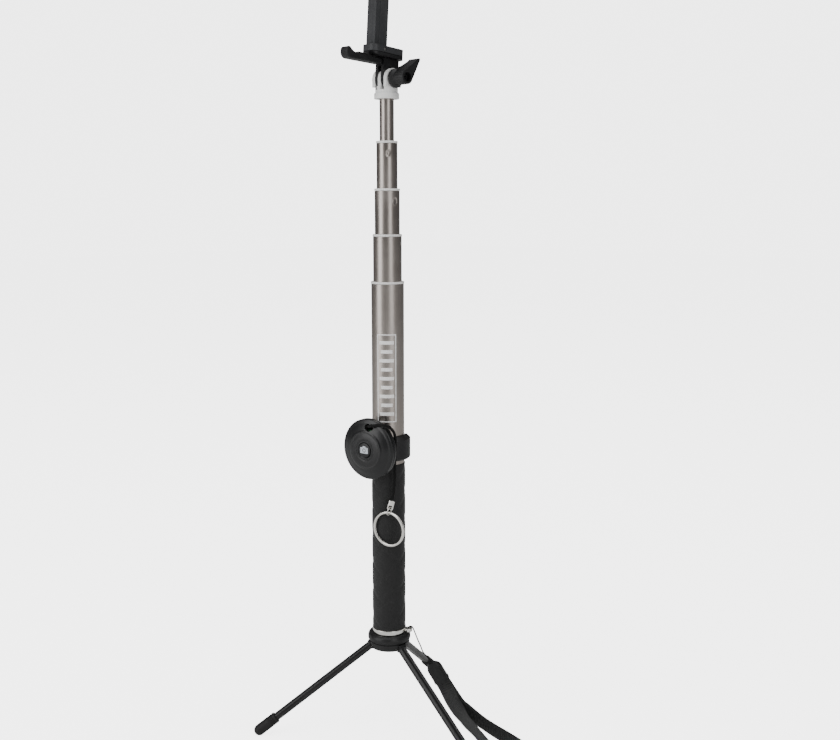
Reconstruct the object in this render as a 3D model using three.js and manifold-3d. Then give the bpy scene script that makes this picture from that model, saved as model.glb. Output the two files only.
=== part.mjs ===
// Telescoping selfie stick on a folding mini tripod, with a tilting phone clamp and a clip-on remote shutter.
// Millimetres, +Z up, the stick's axis on Z, the floor at z = 0, and the clamp's hooks towards -Y.
import * as THREE from 'three';
import { mergeVertices } from 'three/addons/utils/BufferGeometryUtils.js';
import Module from 'manifold-3d';

const wasm = await Module();
wasm.setup();

// ---------------------------------------------------------------- sizes
const fit = {
  press: 0.15, // between pieces that are held together
  slide: 0.12, // a tube in its collar
  run: 0.2, // a hinge, a prong or a rail
  seat: 0.3, // faces that rest on each other
};
const roundSides = 32; // sides of the large turned pieces
const smallSides = 16; // sides of pins, bores and screws

// The tubes, from the grip upwards: outside radius, where the tube starts and where it ends.
const tubeWall = 0.8;
const tubes = [
  { name: 'main_tube', radius: 12.5, bottom: 80.3, top: 359.1 },
  { name: 'slide_tube_1', radius: 10.9, top: 394.7 },
  { name: 'slide_tube_2', radius: 9.45, top: 428.7 },
  { name: 'slide_tube_3', radius: 7.85, top: 463.6 },
  { name: 'slide_tube_4', radius: 5.35, top: 500.4 },
];
const stroke = 33.4; // how far each sliding tube can still go down
const collar = { height: 1.8, skirt: 8, proud: 0.25 }; // light ring at the top of a tube
const bush = { flange: 6, spigot: 8, bore: 2.5 }; // plastic foot of a sliding tube
const dimple = { below: 7.4, wide: 1.7, deep: 0.45, azimuths: [53, 87, 116] }; // on sliding tubes 3, 2 and 1

const grip = { bottom: 84.2, top: 219.5, radius: tubes[0].radius + 0.7 };
const plug = { height: 15.5, boreRadius: 3.4 };
// Each sliding tube starts where its bush clears what is under it with the tube pushed right down.
let floorBelow = tubes[0].bottom + fit.seat + plug.height;
tubes.slice(1).forEach((tube) => {
  tube.bottom = floorBelow + stroke + fit.seat + bush.flange + fit.press;
  floorBelow = tube.bottom - fit.press + bush.spigot;
});

const hub = { radius: tubes[0].radius + 4.55, top: 80, edge: 2.4, ledge: 1.1 };
hub.lowerRadius = hub.radius - 0.75;
const leg = {
  azimuths: [-34, 86, 206], // from -Y towards +X
  hingeRadius: hub.lowerRadius - 2.1,
  hingeHeight: 69.6,
  slope: 35.6, // below the horizontal
  radius: 3.3,
  footRadius: 4.4,
  footLength: 17,
  pinRadius: 1.1,
  pinLength: 11.4,
  flat: 2.5, // half the height across the two milled flats
};
hub.split = leg.hingeHeight + leg.radius + 0.5;
hub.bottom = leg.hingeHeight - 1.8;
const stud = { radius: 3.1, headRadius: 6.8, headBottom: hub.bottom + 1.1, headTop: hub.split - 1.1, top: 94 };
const strapRing = { height: 3.6, radius: tubes[0].radius + 0.9, lugAzimuth: 120, lugRadius: 3.2, lugHole: 1.65 };
strapRing.lugOut = strapRing.radius + 2.5;

// Clevis, adapter and thumb screw share the tilt axis, which is along X at this height.
const tiltHeight = 510;
const clampLean = 4; // degrees that the clamp leans back at rest
const prong = { radius: 7.5, thick: 2.9, pitch: 6.1, hole: 2.6 };
const clevis = { flangeRadius: 9.3, flangeTop: 500, neckRadius: 8.42, neckTop: 504.7, nutBoss: 5.6, nutBossOut: 2.3 };
const nut = { across: 8, thick: 4 };
const bolt = { radius: 2.35, headRadius: 3.1, headLength: 2.6 };
const knob = {
  radius: 5.1,
  flange: 6.8, // radius of its foot
  flangeThick: 2,
  end: 22.3,
  recess: 3.45,
  recessDepth: 6,
  reach: 17.7, // to the tip of its wing
  tip: 1.05,
  wingAngle: 48, // from +Y up towards +Z
  waist: 11, // radius of the hollow on the wing's inner side
};
const adapter = { slotTop: prong.radius + 1.4 };
adapter.top = adapter.slotTop + 5.4;

// The clamp, in a frame that is centred on the tilt axis and leans with it.
const base = { halfWidth: 7.5, front: -20.5, back: 11.2, bottom: adapter.top + fit.seat, corner: 5 };
base.split = base.bottom + 2.8;
base.top = base.bottom + 7.4;
const adapterScrew = { radius: 2.4, bottom: adapter.slotTop + 1.3, top: base.top - 1.6 };
const crossPin = { y: -9.6, z: base.top - 2.4, radius: 1.1 };
const spine = { halfWidth: 4.6, front: -17.6, back: -5.3, bottom: base.split + 0.8, top: base.top + 46, wall: 1.2 };
const groove = { near: 0.7, wide: 3.4, deep: 0.45 };
const slider = { depth: 5, bottom: base.top + 4 };
const jaw = {
  halfWidth: 3.9,
  reach: -42.8,
  under: base.bottom - 5.1, // underside at its root
  tipUnder: base.bottom - 5.8,
  neck: base.bottom - 1, // upper side
  lipRadius: 4,
  opening: 58, // between the pads at rest
};
const pad = { thick: 1, halfWidth: 3.2 };
const spring = { radius: 1.9, bore: 1.1, bottom: base.top + 1.2, top: base.top + 13 };
const springPin = { radius: 0.9, z: spring.top + 2.2 };

// The remote shutter, in a frame on the stick's axis that is turned to face its own way.
const holder = {
  inner: tubes[0].radius + fit.press,
  outer: tubes[0].radius + 4.7,
  bottom: 223.2,
  top: 241.8,
  chamfer: 2.6,
  lowChamfer: 1.2,
  mouth: 96,
};
const remote = {
  azimuth: 10, // its face, from -Y towards +X
  height: 234.5,
  radius: 23.5,
  back: holder.outer + 1.5,
  wall: 1.4,
  buttonRadius: 5.7,
  buttonProud: 0.5,
};
remote.seam = remote.back + 4.7;
remote.rim = remote.back + 6.9;
remote.front = remote.back + 11.7;
const cell = { radius: 10, thick: 3.2 };
const board = { radius: 15, thick: 1 };
const domeSwitch = { radius: 3.4, thick: 0.9 };
const lanyardHole = { x: 2.9, z: remote.radius - 5.7, lobe: 2.5, apart: 3.1, drop: 3.4 };
const rail = { neck: 4, head: 6.5, headDepth: 1.5, neckDepth: 2.3, stop: 5.2, height: 6.6 };

// Soft parts. Their routes are points chosen by hand, in the part's frame, for a main tube and a remote of
// the radii given here; with other radii the points move out by as much.
const drawnFor = { tube: 12.5, remote: 23.5, besideRemote: 10 };
const lanyard = {
  diameter: 2.2,
  steps: 30,
  route: [
    [6.9, -22.7, 252.3],
    [7.4, -26.6, 252.6],
    [9.6, -28.2, 253.5],
    [13.9, -27.4, 254.7],
    [18.6, -24.5, 255.3],
    [21.7, -19.9, 253.8],
    [22.0, -15.2, 249.0],
    [20.6, -12.2, 243.0],
    [18.8, -10.4, 236.0],
    [17.6, -9.5, 229.0],
    [17.0, -9.3, 222.0],
    [16.9, -9.2, 214.0],
    [16.3, -9.5, 204.0],
    [14.59, -9.95, 193.45],
  ],
};
// The crimp and the link hang from the cord's end and lean to one side as seen from the azimuth they face.
const chain = { azimuth: 45, lean: 15, end: [14.59, -9.95, 193.15] };
const crimp = { width: 4.6, height: 4.2, thick: 3, tabHeight: 3.4, tabThick: 1, eye: 1.45, eyeDrop: 5.8 };
const link = { half: 2.7, straight: 1, wire: 0.5, turn: 60 };
const keyRing = { radius: 13.1, wire: 1, azimuth: 14, place: [12.69, -11.85, 170] };
const cap = {
  top: [9.2, 39.2, 42],
  end: [11.9, 49.3, 24],
  wide: [0.632, 0.632, 0.45], // direction of its width
  width: 13.4,
  thick: 6.4,
  mouth: 6,
};
const string = {
  diameter: 1.1,
  steps: 36,
  route: [
    [13.77, 7.95, 80.9],
    [13.77, 7.95, 83.3],
    [14.8, 8.54, 84.9],
    [16.5, 9.5, 84.7],
    [17.5, 10.3, 82.5],
    [18.1, 11.7, 78.5],
    [18.4, 14.0, 73.0],
    [17.3, 18.3, 66.0],
    [13.9, 24.6, 57.6],
    [11.6, 31.6, 50.6],
    [9.35, 38.6, 43.2],
  ],
};
const webbing = {
  width: 12,
  thick: 1.4,
  steps: 76,
  settle: 35, // length over which its width turns upright, from each end
  route: [
    [12.38, 46.57, 27.17],
    [12.9, 48.5, 23.7],
    [13.4, 50.2, 20.6],
    [14.3, 51.6, 17.4],
    [16.8, 52.2, 13.0],
    [21.8, 51.0, 9.2],
    [30.8, 47.4, 6.6],
    [41.5, 42.2, 6.4],
    [51.1, 36.9, 6.4],
    [65.0, 31.0, 6.4],
    [79.0, 24.5, 6.4],
    [95.0, 17.5, 6.4],
    [110.0, 12.6, 6.4],
    [124.0, 10.6, 6.4],
    [136.0, 12.0, 6.4],
    [142.5, 18.5, 6.4],
    [141.0, 26.5, 6.4],
    [132.0, 31.5, 6.4],
    [120.0, 34.8, 6.4],
    [106.0, 37.5, 6.4],
    [93.3, 39.4, 6.4],
    [80.0, 41.0, 6.4],
    [66.0, 43.4, 6.4],
    [52.2, 46.6, 6.4],
    [41.0, 49.3, 6.4],
    [31.0, 51.6, 6.6],
    [21.8, 54.3, 9.2],
    [14.9, 55.0, 13.6],
    [12.1, 53.6, 18.2],
    [11.3, 51.7, 21.4],
    [10.9, 50.1, 24.3],
    [10.39, 48.15, 27.75],
  ],
};

// ---------------------------------------------------------------- finishes
function finish(color, roughness, metalness) {
  return new THREE.MeshStandardMaterial({ color, roughness, metalness });
}
const finishes = {
  satinTube: finish(0xa89f99, 0.38, 0.9),
  paleCollar: finish(0xd6d4d0, 0.45, 0.1),
  whiteHead: finish(0xdcdcda, 0.5, 0),
  blackPlastic: finish(0x242527, 0.5, 0),
  greyPlastic: finish(0x4a4b4d, 0.55, 0),
  rubber: finish(0x1c1c1d, 0.8, 0),
  chrome: finish(0xd9d6cf, 0.15, 1),
  steel: finish(0xb9b8b4, 0.3, 1),
  circuit: finish(0x1f5a36, 0.5, 0.1),
  webbing: finish(0x2c2e2e, 0.9, 0),
};

// ---------------------------------------------------------------- solids
// A closed geometry as a manifold-3d solid.
function toSolid(geometry) {
  const bare = geometry.index ? geometry.toNonIndexed() : geometry.clone();
  bare.deleteAttribute('normal');
  bare.deleteAttribute('uv');
  const merged = mergeVertices(bare, 1e-4);
  return new wasm.Manifold(
    new wasm.Mesh({
      numProp: 3,
      vertProperties: new Float32Array(merged.attributes.position.array),
      triVerts: new Uint32Array(merged.index.array),
    }),
  );
}

// A manifold-3d solid as a geometry with flat faces.
function toGeometry(solid) {
  const mesh = solid.getMesh();
  const geometry = new THREE.BufferGeometry();
  geometry.setAttribute('position', new THREE.BufferAttribute(mesh.vertProperties, 3));
  geometry.setIndex(new THREE.BufferAttribute(mesh.triVerts, 1));
  return geometry;
}

function join(...solids) {
  return wasm.Manifold.union(solids);
}

function cut(solid, ...tools) {
  return solid.subtract(wasm.Manifold.union(tools));
}

// Turned about Z: the points are [radius, height] and close on themselves or start and end on the axis.
function turned(points, sides = roundSides) {
  const profile = points.map(([r, z]) => new THREE.Vector2(r, z));
  const onAxis = points[0][0] === 0 && points.at(-1)[0] === 0;
  if (!onAxis) profile.push(profile[0].clone());
  const geometry = new THREE.LatheGeometry(profile, sides);
  geometry.rotateX(Math.PI / 2);
  const solid = toSolid(geometry);
  return solid;
}

// A tube or washer between two heights.
function pipe(inner, outer, bottom, top, sides = roundSides) {
  return turned([[inner, bottom], [outer, bottom], [outer, top], [inner, top]], sides);
}

function rod(radius, bottom, top, sides = smallSides) {
  return turned([[0, bottom], [radius, bottom], [radius, top], [0, top]], sides);
}

// A block between two corners.
function block(x0, x1, y0, y1, z0, z1) {
  const geometry = new THREE.BoxGeometry(x1 - x0, y1 - y0, z1 - z0);
  geometry.translate((x0 + x1) / 2, (y0 + y1) / 2, (z0 + z1) / 2);
  return toSolid(geometry);
}

// A flat outline pushed along Z from one height to another.
function slab(outline, bottom, top, curveSegments = 8) {
  const geometry = new THREE.ExtrudeGeometry(outline, { depth: top - bottom, bevelEnabled: false, curveSegments });
  geometry.translate(0, 0, bottom);
  return toSolid(geometry);
}

function roundedRectangle(x0, x1, y0, y1, r) {
  const outline = new THREE.Shape();
  outline.moveTo(x0 + r, y0);
  outline.lineTo(x1 - r, y0);
  outline.absarc(x1 - r, y0 + r, r, -Math.PI / 2, 0);
  outline.lineTo(x1, y1 - r);
  outline.absarc(x1 - r, y1 - r, r, 0, Math.PI / 2);
  outline.lineTo(x0 + r, y1);
  outline.absarc(x0 + r, y1 - r, r, Math.PI / 2, Math.PI);
  outline.lineTo(x0, y0 + r);
  outline.absarc(x0 + r, y0 + r, r, Math.PI, 1.5 * Math.PI);
  return outline;
}

// What was made along Z, laid along X (its top towards +X) or along Y (its top towards -Y).
function alongX(solid) {
  return solid.rotate([90, 0, 90]);
}

function alongMinusY(solid) {
  return solid.rotate([90, 0, 0]);
}

// An outline given in (Y, Z) and pushed along X.
function sideSlab(outline, x0, x1, curveSegments = 8) {
  return alongX(slab(outline, x0, x1, curveSegments));
}

const degrees = THREE.MathUtils.degToRad;

// The direction of an azimuth that runs from -Y towards +X.
function facing(azimuth) {
  return new THREE.Vector3(Math.sin(degrees(azimuth)), -Math.cos(degrees(azimuth)), 0);
}

// ---------------------------------------------------------------- scene graph
const stick = new THREE.Group();

function add(name, solid, material, group = stick) {
  const mesh = new THREE.Mesh(toGeometry(solid), material);
  mesh.name = name;
  group.add(mesh);
  return mesh;
}

function groupAt(place, parent = stick) {
  const group = new THREE.Group();
  group.position.copy(place);
  parent.add(group);
  return group;
}

// ---------------------------------------------------------------- tubes
function innerRadius(tube) {
  return tube.radius - tubeWall;
}

function makeTube(tube, index) {
  let solid = pipe(innerRadius(tube), tube.radius, tube.bottom, tube.top);
  if (index > 0 && index < tubes.length - 1) {
    const azimuth = dimple.azimuths[tubes.length - 2 - index];
    const bead = rod(dimple.wide, tube.radius - dimple.deep, tube.radius + 1, 12);
    const dents = [azimuth, azimuth + 180].map((a) =>
      alongX(bead).rotate([0, 0, a - 90]).translate([0, 0, tube.top - dimple.below]),
    );
    solid = cut(solid, ...dents);
  }
  add(tube.name, solid, finishes.satinTube);
}

// The light collar that closes a tube's top and guides the next tube.
function makeCollar(tube, next, index) {
  const inner = next.radius + fit.slide;
  const skirtOuter = innerRadius(tube) - fit.press;
  const seat = tube.top + fit.press;
  const outer = tube.radius + collar.proud;
  const profile = [
    [inner, tube.top - collar.skirt],
    [skirtOuter, tube.top - collar.skirt],
    [skirtOuter, seat],
    [outer, seat],
    [outer, tube.top + collar.height - 0.4],
    [outer - 0.4, tube.top + collar.height],
    [inner, tube.top + collar.height],
  ];
  add(`end_collar_${index + 1}`, turned(profile), finishes.paleCollar);
}

// The bush on a sliding tube's foot, which rides in the tube outside it.
function makeBush(tube, outside, index) {
  const rider = innerRadius(outside) - fit.slide;
  const spigot = innerRadius(tube) - fit.press;
  const seat = tube.bottom - fit.press;
  const profile = [
    [bush.bore, seat - bush.flange],
    [rider, seat - bush.flange],
    [rider, seat],
    [spigot, seat],
    [spigot, seat + bush.spigot],
    [bush.bore, seat + bush.spigot],
  ];
  add(`slide_bush_${index}`, turned(profile), finishes.blackPlastic);
}

tubes.forEach(makeTube);
tubes.slice(0, -1).forEach((tube, i) => makeCollar(tube, tubes[i + 1], i));
tubes.slice(1).forEach((tube, i) => makeBush(tube, tubes[i], i + 1));

// ---------------------------------------------------------------- grip, plug and strap ring
function makeGrip() {
  const mainTube = tubes[0];
  const inner = mainTube.radius + fit.press;
  const sleeve = turned([
    [inner, grip.bottom],
    [grip.radius - 0.2, grip.bottom],
    [grip.radius, grip.bottom + 0.6],
    [grip.radius, grip.top - 0.6],
    [grip.radius - 0.2, grip.top],
    [inner, grip.top],
  ]);
  add('grip_sleeve', sleeve, finishes.rubber);
  const plugBottom = mainTube.bottom + fit.seat;
  const plugRadius = innerRadius(mainTube) - fit.press;
  add('bottom_plug', pipe(plug.boreRadius, plugRadius, plugBottom, plugBottom + plug.height), finishes.blackPlastic);
}

function makeStrapRing() {
  const inner = tubes[0].radius + fit.press;
  const bottom = hub.top + fit.seat;
  const top = bottom + strapRing.height;
  const ring = turned([
    [inner, bottom],
    [strapRing.radius - 0.4, bottom],
    [strapRing.radius, bottom + 0.4],
    [strapRing.radius, top - 0.4],
    [strapRing.radius - 0.4, top],
    [inner, top],
  ]);
  const out = facing(strapRing.lugAzimuth).multiplyScalar(strapRing.lugOut);
  const eye = rod(strapRing.lugRadius, bottom + 0.3, top - 0.3).translate([out.x, out.y, 0]);
  const hole = rod(strapRing.lugHole, bottom - 1, top + 1).translate([out.x, out.y, 0]);
  const bore = rod(inner, bottom - 1, top + 1, roundSides);
  add('strap_ring', cut(join(ring, eye), hole, bore), finishes.chrome);
}

makeGrip();
makeStrapRing();

// ---------------------------------------------------------------- tripod
function makeHub() {
  const slot = leg.radius + fit.run;
  const upper = turned([
    [stud.radius + fit.seat, hub.split],
    [hub.lowerRadius, hub.split],
    [hub.lowerRadius, hub.split + hub.ledge],
    [hub.radius, hub.split + hub.ledge],
    [hub.radius, hub.top - hub.edge],
    [hub.radius - 0.3 * hub.edge, hub.top - 0.35 * hub.edge],
    [hub.radius - hub.edge, hub.top],
    [stud.radius + fit.seat, hub.top],
  ]);
  add('hub_upper_shell', upper, finishes.blackPlastic);
  const lowerTop = hub.split - fit.seat;
  const plain = turned([
    [stud.headRadius + fit.seat, hub.bottom],
    [hub.lowerRadius - 1, hub.bottom],
    [hub.lowerRadius, hub.bottom + 1],
    [hub.lowerRadius, lowerTop],
    [stud.headRadius + fit.seat, lowerTop],
  ]);
  const slotStart = leg.hingeRadius - leg.radius - 0.6;
  const tools = leg.azimuths.flatMap((azimuth) => [
    block(slotStart, hub.radius + 2, -slot, slot, hub.bottom - 1, lowerTop + 1).rotate([0, 0, azimuth - 90]),
    rod(leg.pinRadius + fit.press, -leg.pinLength / 2 - fit.seat, leg.pinLength / 2 + fit.seat)
      .rotate([90, 0, 0])
      .translate([leg.hingeRadius, 0, leg.hingeHeight])
      .rotate([0, 0, azimuth - 90]),
  ]);
  add('hub_lower_shell', cut(plain, ...tools), finishes.blackPlastic);
  const screw = turned(
    [
      [0, stud.headBottom],
      [stud.headRadius, stud.headBottom],
      [stud.headRadius, stud.headTop],
      [stud.radius, stud.headTop],
      [stud.radius, stud.top - 0.8],
      [stud.radius - 0.8, stud.top],
      [0, stud.top],
    ],
    smallSides,
  );
  add('tripod_stud', screw, finishes.steel);
}

// Distance along a leg from its hinge to the centre of its foot's round tip, which rests on the floor.
const legLength = (leg.hingeHeight - leg.footRadius) / Math.sin(degrees(leg.slope));

function makeLeg(azimuth, number) {
  const turn = groupAt(new THREE.Vector3(0, 0, leg.hingeHeight));
  turn.rotation.z = degrees(azimuth - 90);
  const hinge = groupAt(new THREE.Vector3(leg.hingeRadius, 0, 0), turn);
  hinge.rotation.y = degrees(leg.slope);
  const rodEnd = legLength - 0.35 * leg.footLength;
  const knuckle = rod(leg.radius, -leg.radius + 0.3, leg.radius - 0.3).rotate([90, 0, 0]);
  const round = alongX(rod(leg.radius, 0, rodEnd, 12));
  const flats = block(-leg.radius, rodEnd, -leg.radius - 1, leg.radius + 1, -leg.flat, leg.flat);
  const bore = rod(leg.pinRadius + fit.run, -leg.radius - 1, leg.radius + 1).rotate([90, 0, 0]);
  const footStart = legLength - leg.footLength;
  const neck = alongX(pipe(2.5, leg.radius + 2, footStart, rodEnd + 1, smallSides));
  add(`leg_${number}`, cut(join(knuckle, round.intersect(flats)), bore, neck), finishes.blackPlastic, hinge);
  const foot = turned(
    [
      [2.5 + fit.press, footStart + fit.seat],
      [leg.footRadius - 0.6, footStart + fit.seat],
      [leg.footRadius, footStart + 1.6],
      [leg.footRadius, legLength],
      [leg.footRadius * Math.cos(degrees(30)), legLength + leg.footRadius * Math.sin(degrees(30))],
      [leg.footRadius * Math.cos(degrees(60)), legLength + leg.footRadius * Math.sin(degrees(60))],
      [0, legLength + leg.footRadius],
      [0, rodEnd + fit.seat],
      [2.5 + fit.press, rodEnd + fit.seat],
      [2.5 + fit.press, footStart + fit.seat],
    ],
    smallSides,
  );
  add(`leg_foot_${number}`, alongX(foot), finishes.rubber, hinge);
  const pin = rod(leg.pinRadius, -leg.pinLength / 2, leg.pinLength / 2, 12).rotate([90, 0, 0]);
  const pinMesh = add(`leg_pin_${number}`, pin, finishes.steel, turn);
  pinMesh.position.x = leg.hingeRadius;
}

makeHub();
leg.azimuths.forEach((azimuth, i) => makeLeg(azimuth, i + 1));

// ---------------------------------------------------------------- tilting head
const tiltAxis = new THREE.Vector3(0, 0, tiltHeight);
const clevisGroup = groupAt(tiltAxis);
const clampGroup = groupAt(tiltAxis);
clampGroup.rotation.x = -degrees(clampLean);
const clevisHalf = prong.pitch + prong.thick / 2;

// A prong's outline in (Y, Z): a half round about the tilt axis, up or down to a flat end.
function prongOutline(end) {
  const outline = new THREE.Shape();
  const up = end > 0;
  outline.moveTo(prong.radius, end);
  outline.lineTo(prong.radius, 0);
  outline.absarc(0, 0, prong.radius, 0, Math.PI, up);
  outline.lineTo(-prong.radius, end);
  return outline;
}

function makeClevis() {
  const lastTube = tubes.at(-1);
  const flangeTop = clevis.flangeTop - tiltHeight;
  const neckTop = clevis.neckTop - tiltHeight;
  const collarBottom = lastTube.top - 4.5 - tiltHeight;
  const collarSolid = turned([
    [0, collarBottom],
    [clevis.flangeRadius, collarBottom],
    [clevis.flangeRadius, flangeTop - 0.5],
    [clevis.flangeRadius - 0.5, flangeTop],
    [clevis.neckRadius, flangeTop],
    [clevis.neckRadius, neckTop],
    [0, neckTop],
  ]);
  const prongs = sideSlab(prongOutline(neckTop - 0.5), -clevisHalf, clevisHalf, 10);
  const boss = alongX(rod(clevis.nutBoss, -clevisHalf - clevis.nutBossOut, -clevisHalf + 0.5, 20));
  const gapHalf = (prong.pitch - prong.thick) / 2;
  const slotBottom = -prong.radius - fit.seat;
  const gaps = [-prong.pitch / 2, prong.pitch / 2].map((x) =>
    block(x - gapHalf, x + gapHalf, -clevis.flangeRadius, clevis.flangeRadius, slotBottom, prong.radius + 1),
  );
  const bore = alongX(rod(prong.hole, -clevisHalf - 4, clevisHalf + 1));
  const nutEnd = -clevisHalf - clevis.nutBossOut;
  const pocket = alongX(rod(nut.across / Math.sqrt(3) + fit.press, nutEnd - 1, nutEnd + nut.thick + fit.press, 6));
  const socket = rod(lastTube.radius + fit.press, collarBottom - 1, lastTube.top + fit.seat - tiltHeight, roundSides);
  const solid = cut(join(collarSolid, prongs, boss), ...gaps, bore, pocket, socket);
  add('clevis_head', solid, finishes.whiteHead, clevisGroup);
  const hexagon = rod(nut.across / Math.sqrt(3), nutEnd, nutEnd + nut.thick, 6);
  const thread = rod(bolt.radius + fit.run, nutEnd - 1, nutEnd + nut.thick + 1);
  add('hex_nut', alongX(cut(hexagon, thread)), finishes.steel, clevisGroup);
}

function makeThumbScrew() {
  const start = clevisHalf + fit.seat;
  const foot = tiltHeight - clevis.neckTop - fit.seat;
  const flangeStart = clevis.neckRadius + fit.seat;
  const flangeEnd = flangeStart + knob.flangeThick;
  const barrel = turned(
    [
      [0, start],
      [foot, start],
      [foot, flangeStart],
      [knob.flange, flangeStart],
      [knob.flange, flangeEnd],
      [knob.radius, flangeEnd + 1.5],
      [knob.radius, knob.end - 0.5],
      [knob.radius - 0.5, knob.end],
      [0, knob.end],
    ],
    24,
  );
  const wing = new THREE.Shape();
  const spread = Math.acos((knob.radius - knob.tip) / knob.reach);
  wing.absarc(0, 0, knob.radius, spread, 2 * Math.PI - spread, false);
  wing.absarc(knob.reach, 0, knob.tip, -spread, spread, false);
  const blade = slab(wing, start + 0.8, knob.end, 5);
  const hollow = rod(knob.waist, -30, 30, 24)
    .rotate([90, 0, 0])
    .translate([knob.radius + knob.waist * 0.99, 0, start - 6.2]);
  const recess = rod(knob.recess, knob.end - knob.recessDepth, knob.end + 1);
  const bore = rod(bolt.radius + fit.press, start - 1, knob.end);
  const solid = cut(join(barrel, cut(blade, hollow)), recess, bore);
  const placed = alongX(solid.rotate([0, 0, knob.wingAngle]));
  add('thumb_knob', placed, finishes.blackPlastic, clevisGroup);
  const headSeat = knob.end - knob.recessDepth + fit.press;
  const shankEnd = -clevisHalf - clevis.nutBossOut - 0.8;
  const screw = turned(
    [
      [0, shankEnd],
      [bolt.radius, shankEnd],
      [bolt.radius, headSeat],
      [bolt.headRadius, headSeat],
      [bolt.headRadius, headSeat + bolt.headLength],
      [0, headSeat + bolt.headLength],
    ],
    smallSides,
  );
  const drive = rod(1.5, headSeat + 0.9, headSeat + bolt.headLength + 1, 6);
  add('thumb_bolt', alongX(cut(screw, drive)), finishes.steel, clevisGroup);
}

function makeAdapter() {
  const half = prong.pitch - prong.thick / 2 - fit.run;
  const body = sideSlab(prongOutline(adapter.top), -half, half, 10);
  const gap = block(-prong.thick / 2 - fit.run, prong.thick / 2 + fit.run, -10, 10, -10, adapter.slotTop);
  const bore = alongX(rod(prong.hole, -half - 1, half + 1));
  const screwHole = rod(adapterScrew.radius + fit.press, adapterScrew.bottom - fit.seat, adapter.top + 1);
  add('head_adapter', cut(body, gap, bore, screwHole), finishes.blackPlastic, clampGroup);
  add('adapter_screw', rod(adapterScrew.radius, adapterScrew.bottom, adapterScrew.top), finishes.steel, clampGroup);
}

makeClevis();
makeThumbScrew();
makeAdapter();

// ---------------------------------------------------------------- phone clamp
const screwClear = adapterScrew.radius + fit.press;

function makeClampBase() {
  const outline = roundedRectangle(-base.halfWidth, base.halfWidth, base.front, base.back, base.corner);
  const spineHole = block(
    -spine.halfWidth - fit.press,
    spine.halfWidth + fit.press,
    spine.front + 2 - fit.press,
    spine.back + fit.press,
    spine.bottom - fit.seat,
    base.top + 1,
  );
  const screwHole = rod(screwClear, base.bottom - 1, adapterScrew.top + fit.seat);
  const pinHole = alongX(rod(crossPin.radius + fit.press, -base.halfWidth - 1, base.halfWidth + 1, 12)).translate([
    0,
    crossPin.y,
    crossPin.z,
  ]);
  const lower = slab(outline, base.bottom, base.split - fit.seat, 4);
  const lowerRound = alongX(rod(5, -10, 10, 24)).translate([0, base.front + 5, base.bottom + 5]);
  const lowerBack = block(-10, 10, base.front + 5, base.back + 1, base.bottom - 1, base.split + 1);
  add(
    'base_bottom_shell',
    cut(lower.intersect(join(lowerRound, lowerBack)), screwHole),
    finishes.blackPlastic,
    clampGroup,
  );
  const upper = slab(outline, base.split, base.top, 4);
  add('base_top_shell', cut(upper, spineHole, screwHole, pinHole), finishes.greyPlastic, clampGroup);
  const pin = alongX(rod(crossPin.radius, -base.halfWidth + 0.3, base.halfWidth - 0.3, 12));
  add('cross_pin', pin.translate([0, crossPin.y, crossPin.z]), finishes.steel, clampGroup);
}

const channel = {
  half: spine.halfWidth - spine.wall,
  front: spine.front + spine.wall,
  back: spine.back - spine.wall,
};

function makeSpine() {
  const outer = block(-spine.halfWidth, spine.halfWidth, spine.front, spine.back, base.top + fit.seat, spine.top);
  const tang = block(
    -spine.halfWidth,
    spine.halfWidth,
    spine.front + 2,
    spine.back,
    spine.bottom,
    base.top + fit.seat + 0.5,
  );
  const hollow = block(-channel.half, channel.half, channel.front, channel.back, base.top + 1, spine.top + 1);
  const grooves = [-1, 1].map((side) =>
    block(
      side * spine.halfWidth - groove.deep,
      side * spine.halfWidth + groove.deep,
      spine.front + groove.near,
      spine.front + groove.near + groove.wide,
      base.top,
      spine.top + 1,
    ),
  );
  const pinHole = alongX(rod(crossPin.radius + fit.press, -spine.halfWidth - 1, spine.halfWidth + 1, 12));
  const solid = cut(join(outer, tang), hollow, ...grooves, pinHole.translate([0, crossPin.y, crossPin.z]));
  add('spine_shell', solid, finishes.greyPlastic, clampGroup);
}

// A hook in (Y, Z) that reaches forward from its root and turns up round its lip.
function hookOutline(rootY) {
  const outline = new THREE.Shape();
  const tipY = jaw.reach + jaw.lipRadius;
  const tipZ = jaw.tipUnder + jaw.lipRadius;
  outline.moveTo(rootY, jaw.under);
  outline.lineTo(tipY, jaw.tipUnder);
  outline.absarc(tipY, tipZ, jaw.lipRadius, -Math.PI / 2, -Math.PI, true);
  outline.lineTo(jaw.reach, tipZ + 1.6);
  outline.absarc(jaw.reach + 2.6, tipZ + 1.6, 2.6, Math.PI, 0.35 * Math.PI, true);
  outline.quadraticCurveTo(jaw.reach + 6.4, jaw.neck, jaw.reach + 11, jaw.neck);
  outline.lineTo(rootY, jaw.neck);
  return outline;
}

// The pad's (Y, Z) outline on a hook's neck.
function padBlock(y0, y1) {
  return block(-pad.halfWidth, pad.halfWidth, y0, y1, jaw.neck + fit.press, jaw.neck + fit.press + pad.thick);
}

function makeLowerJaw() {
  const root = -prong.radius - fit.seat - 0.8;
  const hook = sideSlab(hookOutline(root), -jaw.halfWidth, jaw.halfWidth, 5);
  add('lower_jaw', hook, finishes.blackPlastic, clampGroup);
  add('lower_jaw_pad', padBlock(jaw.reach + 11.6, base.front - 0.8), finishes.rubber, clampGroup);
}

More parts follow.
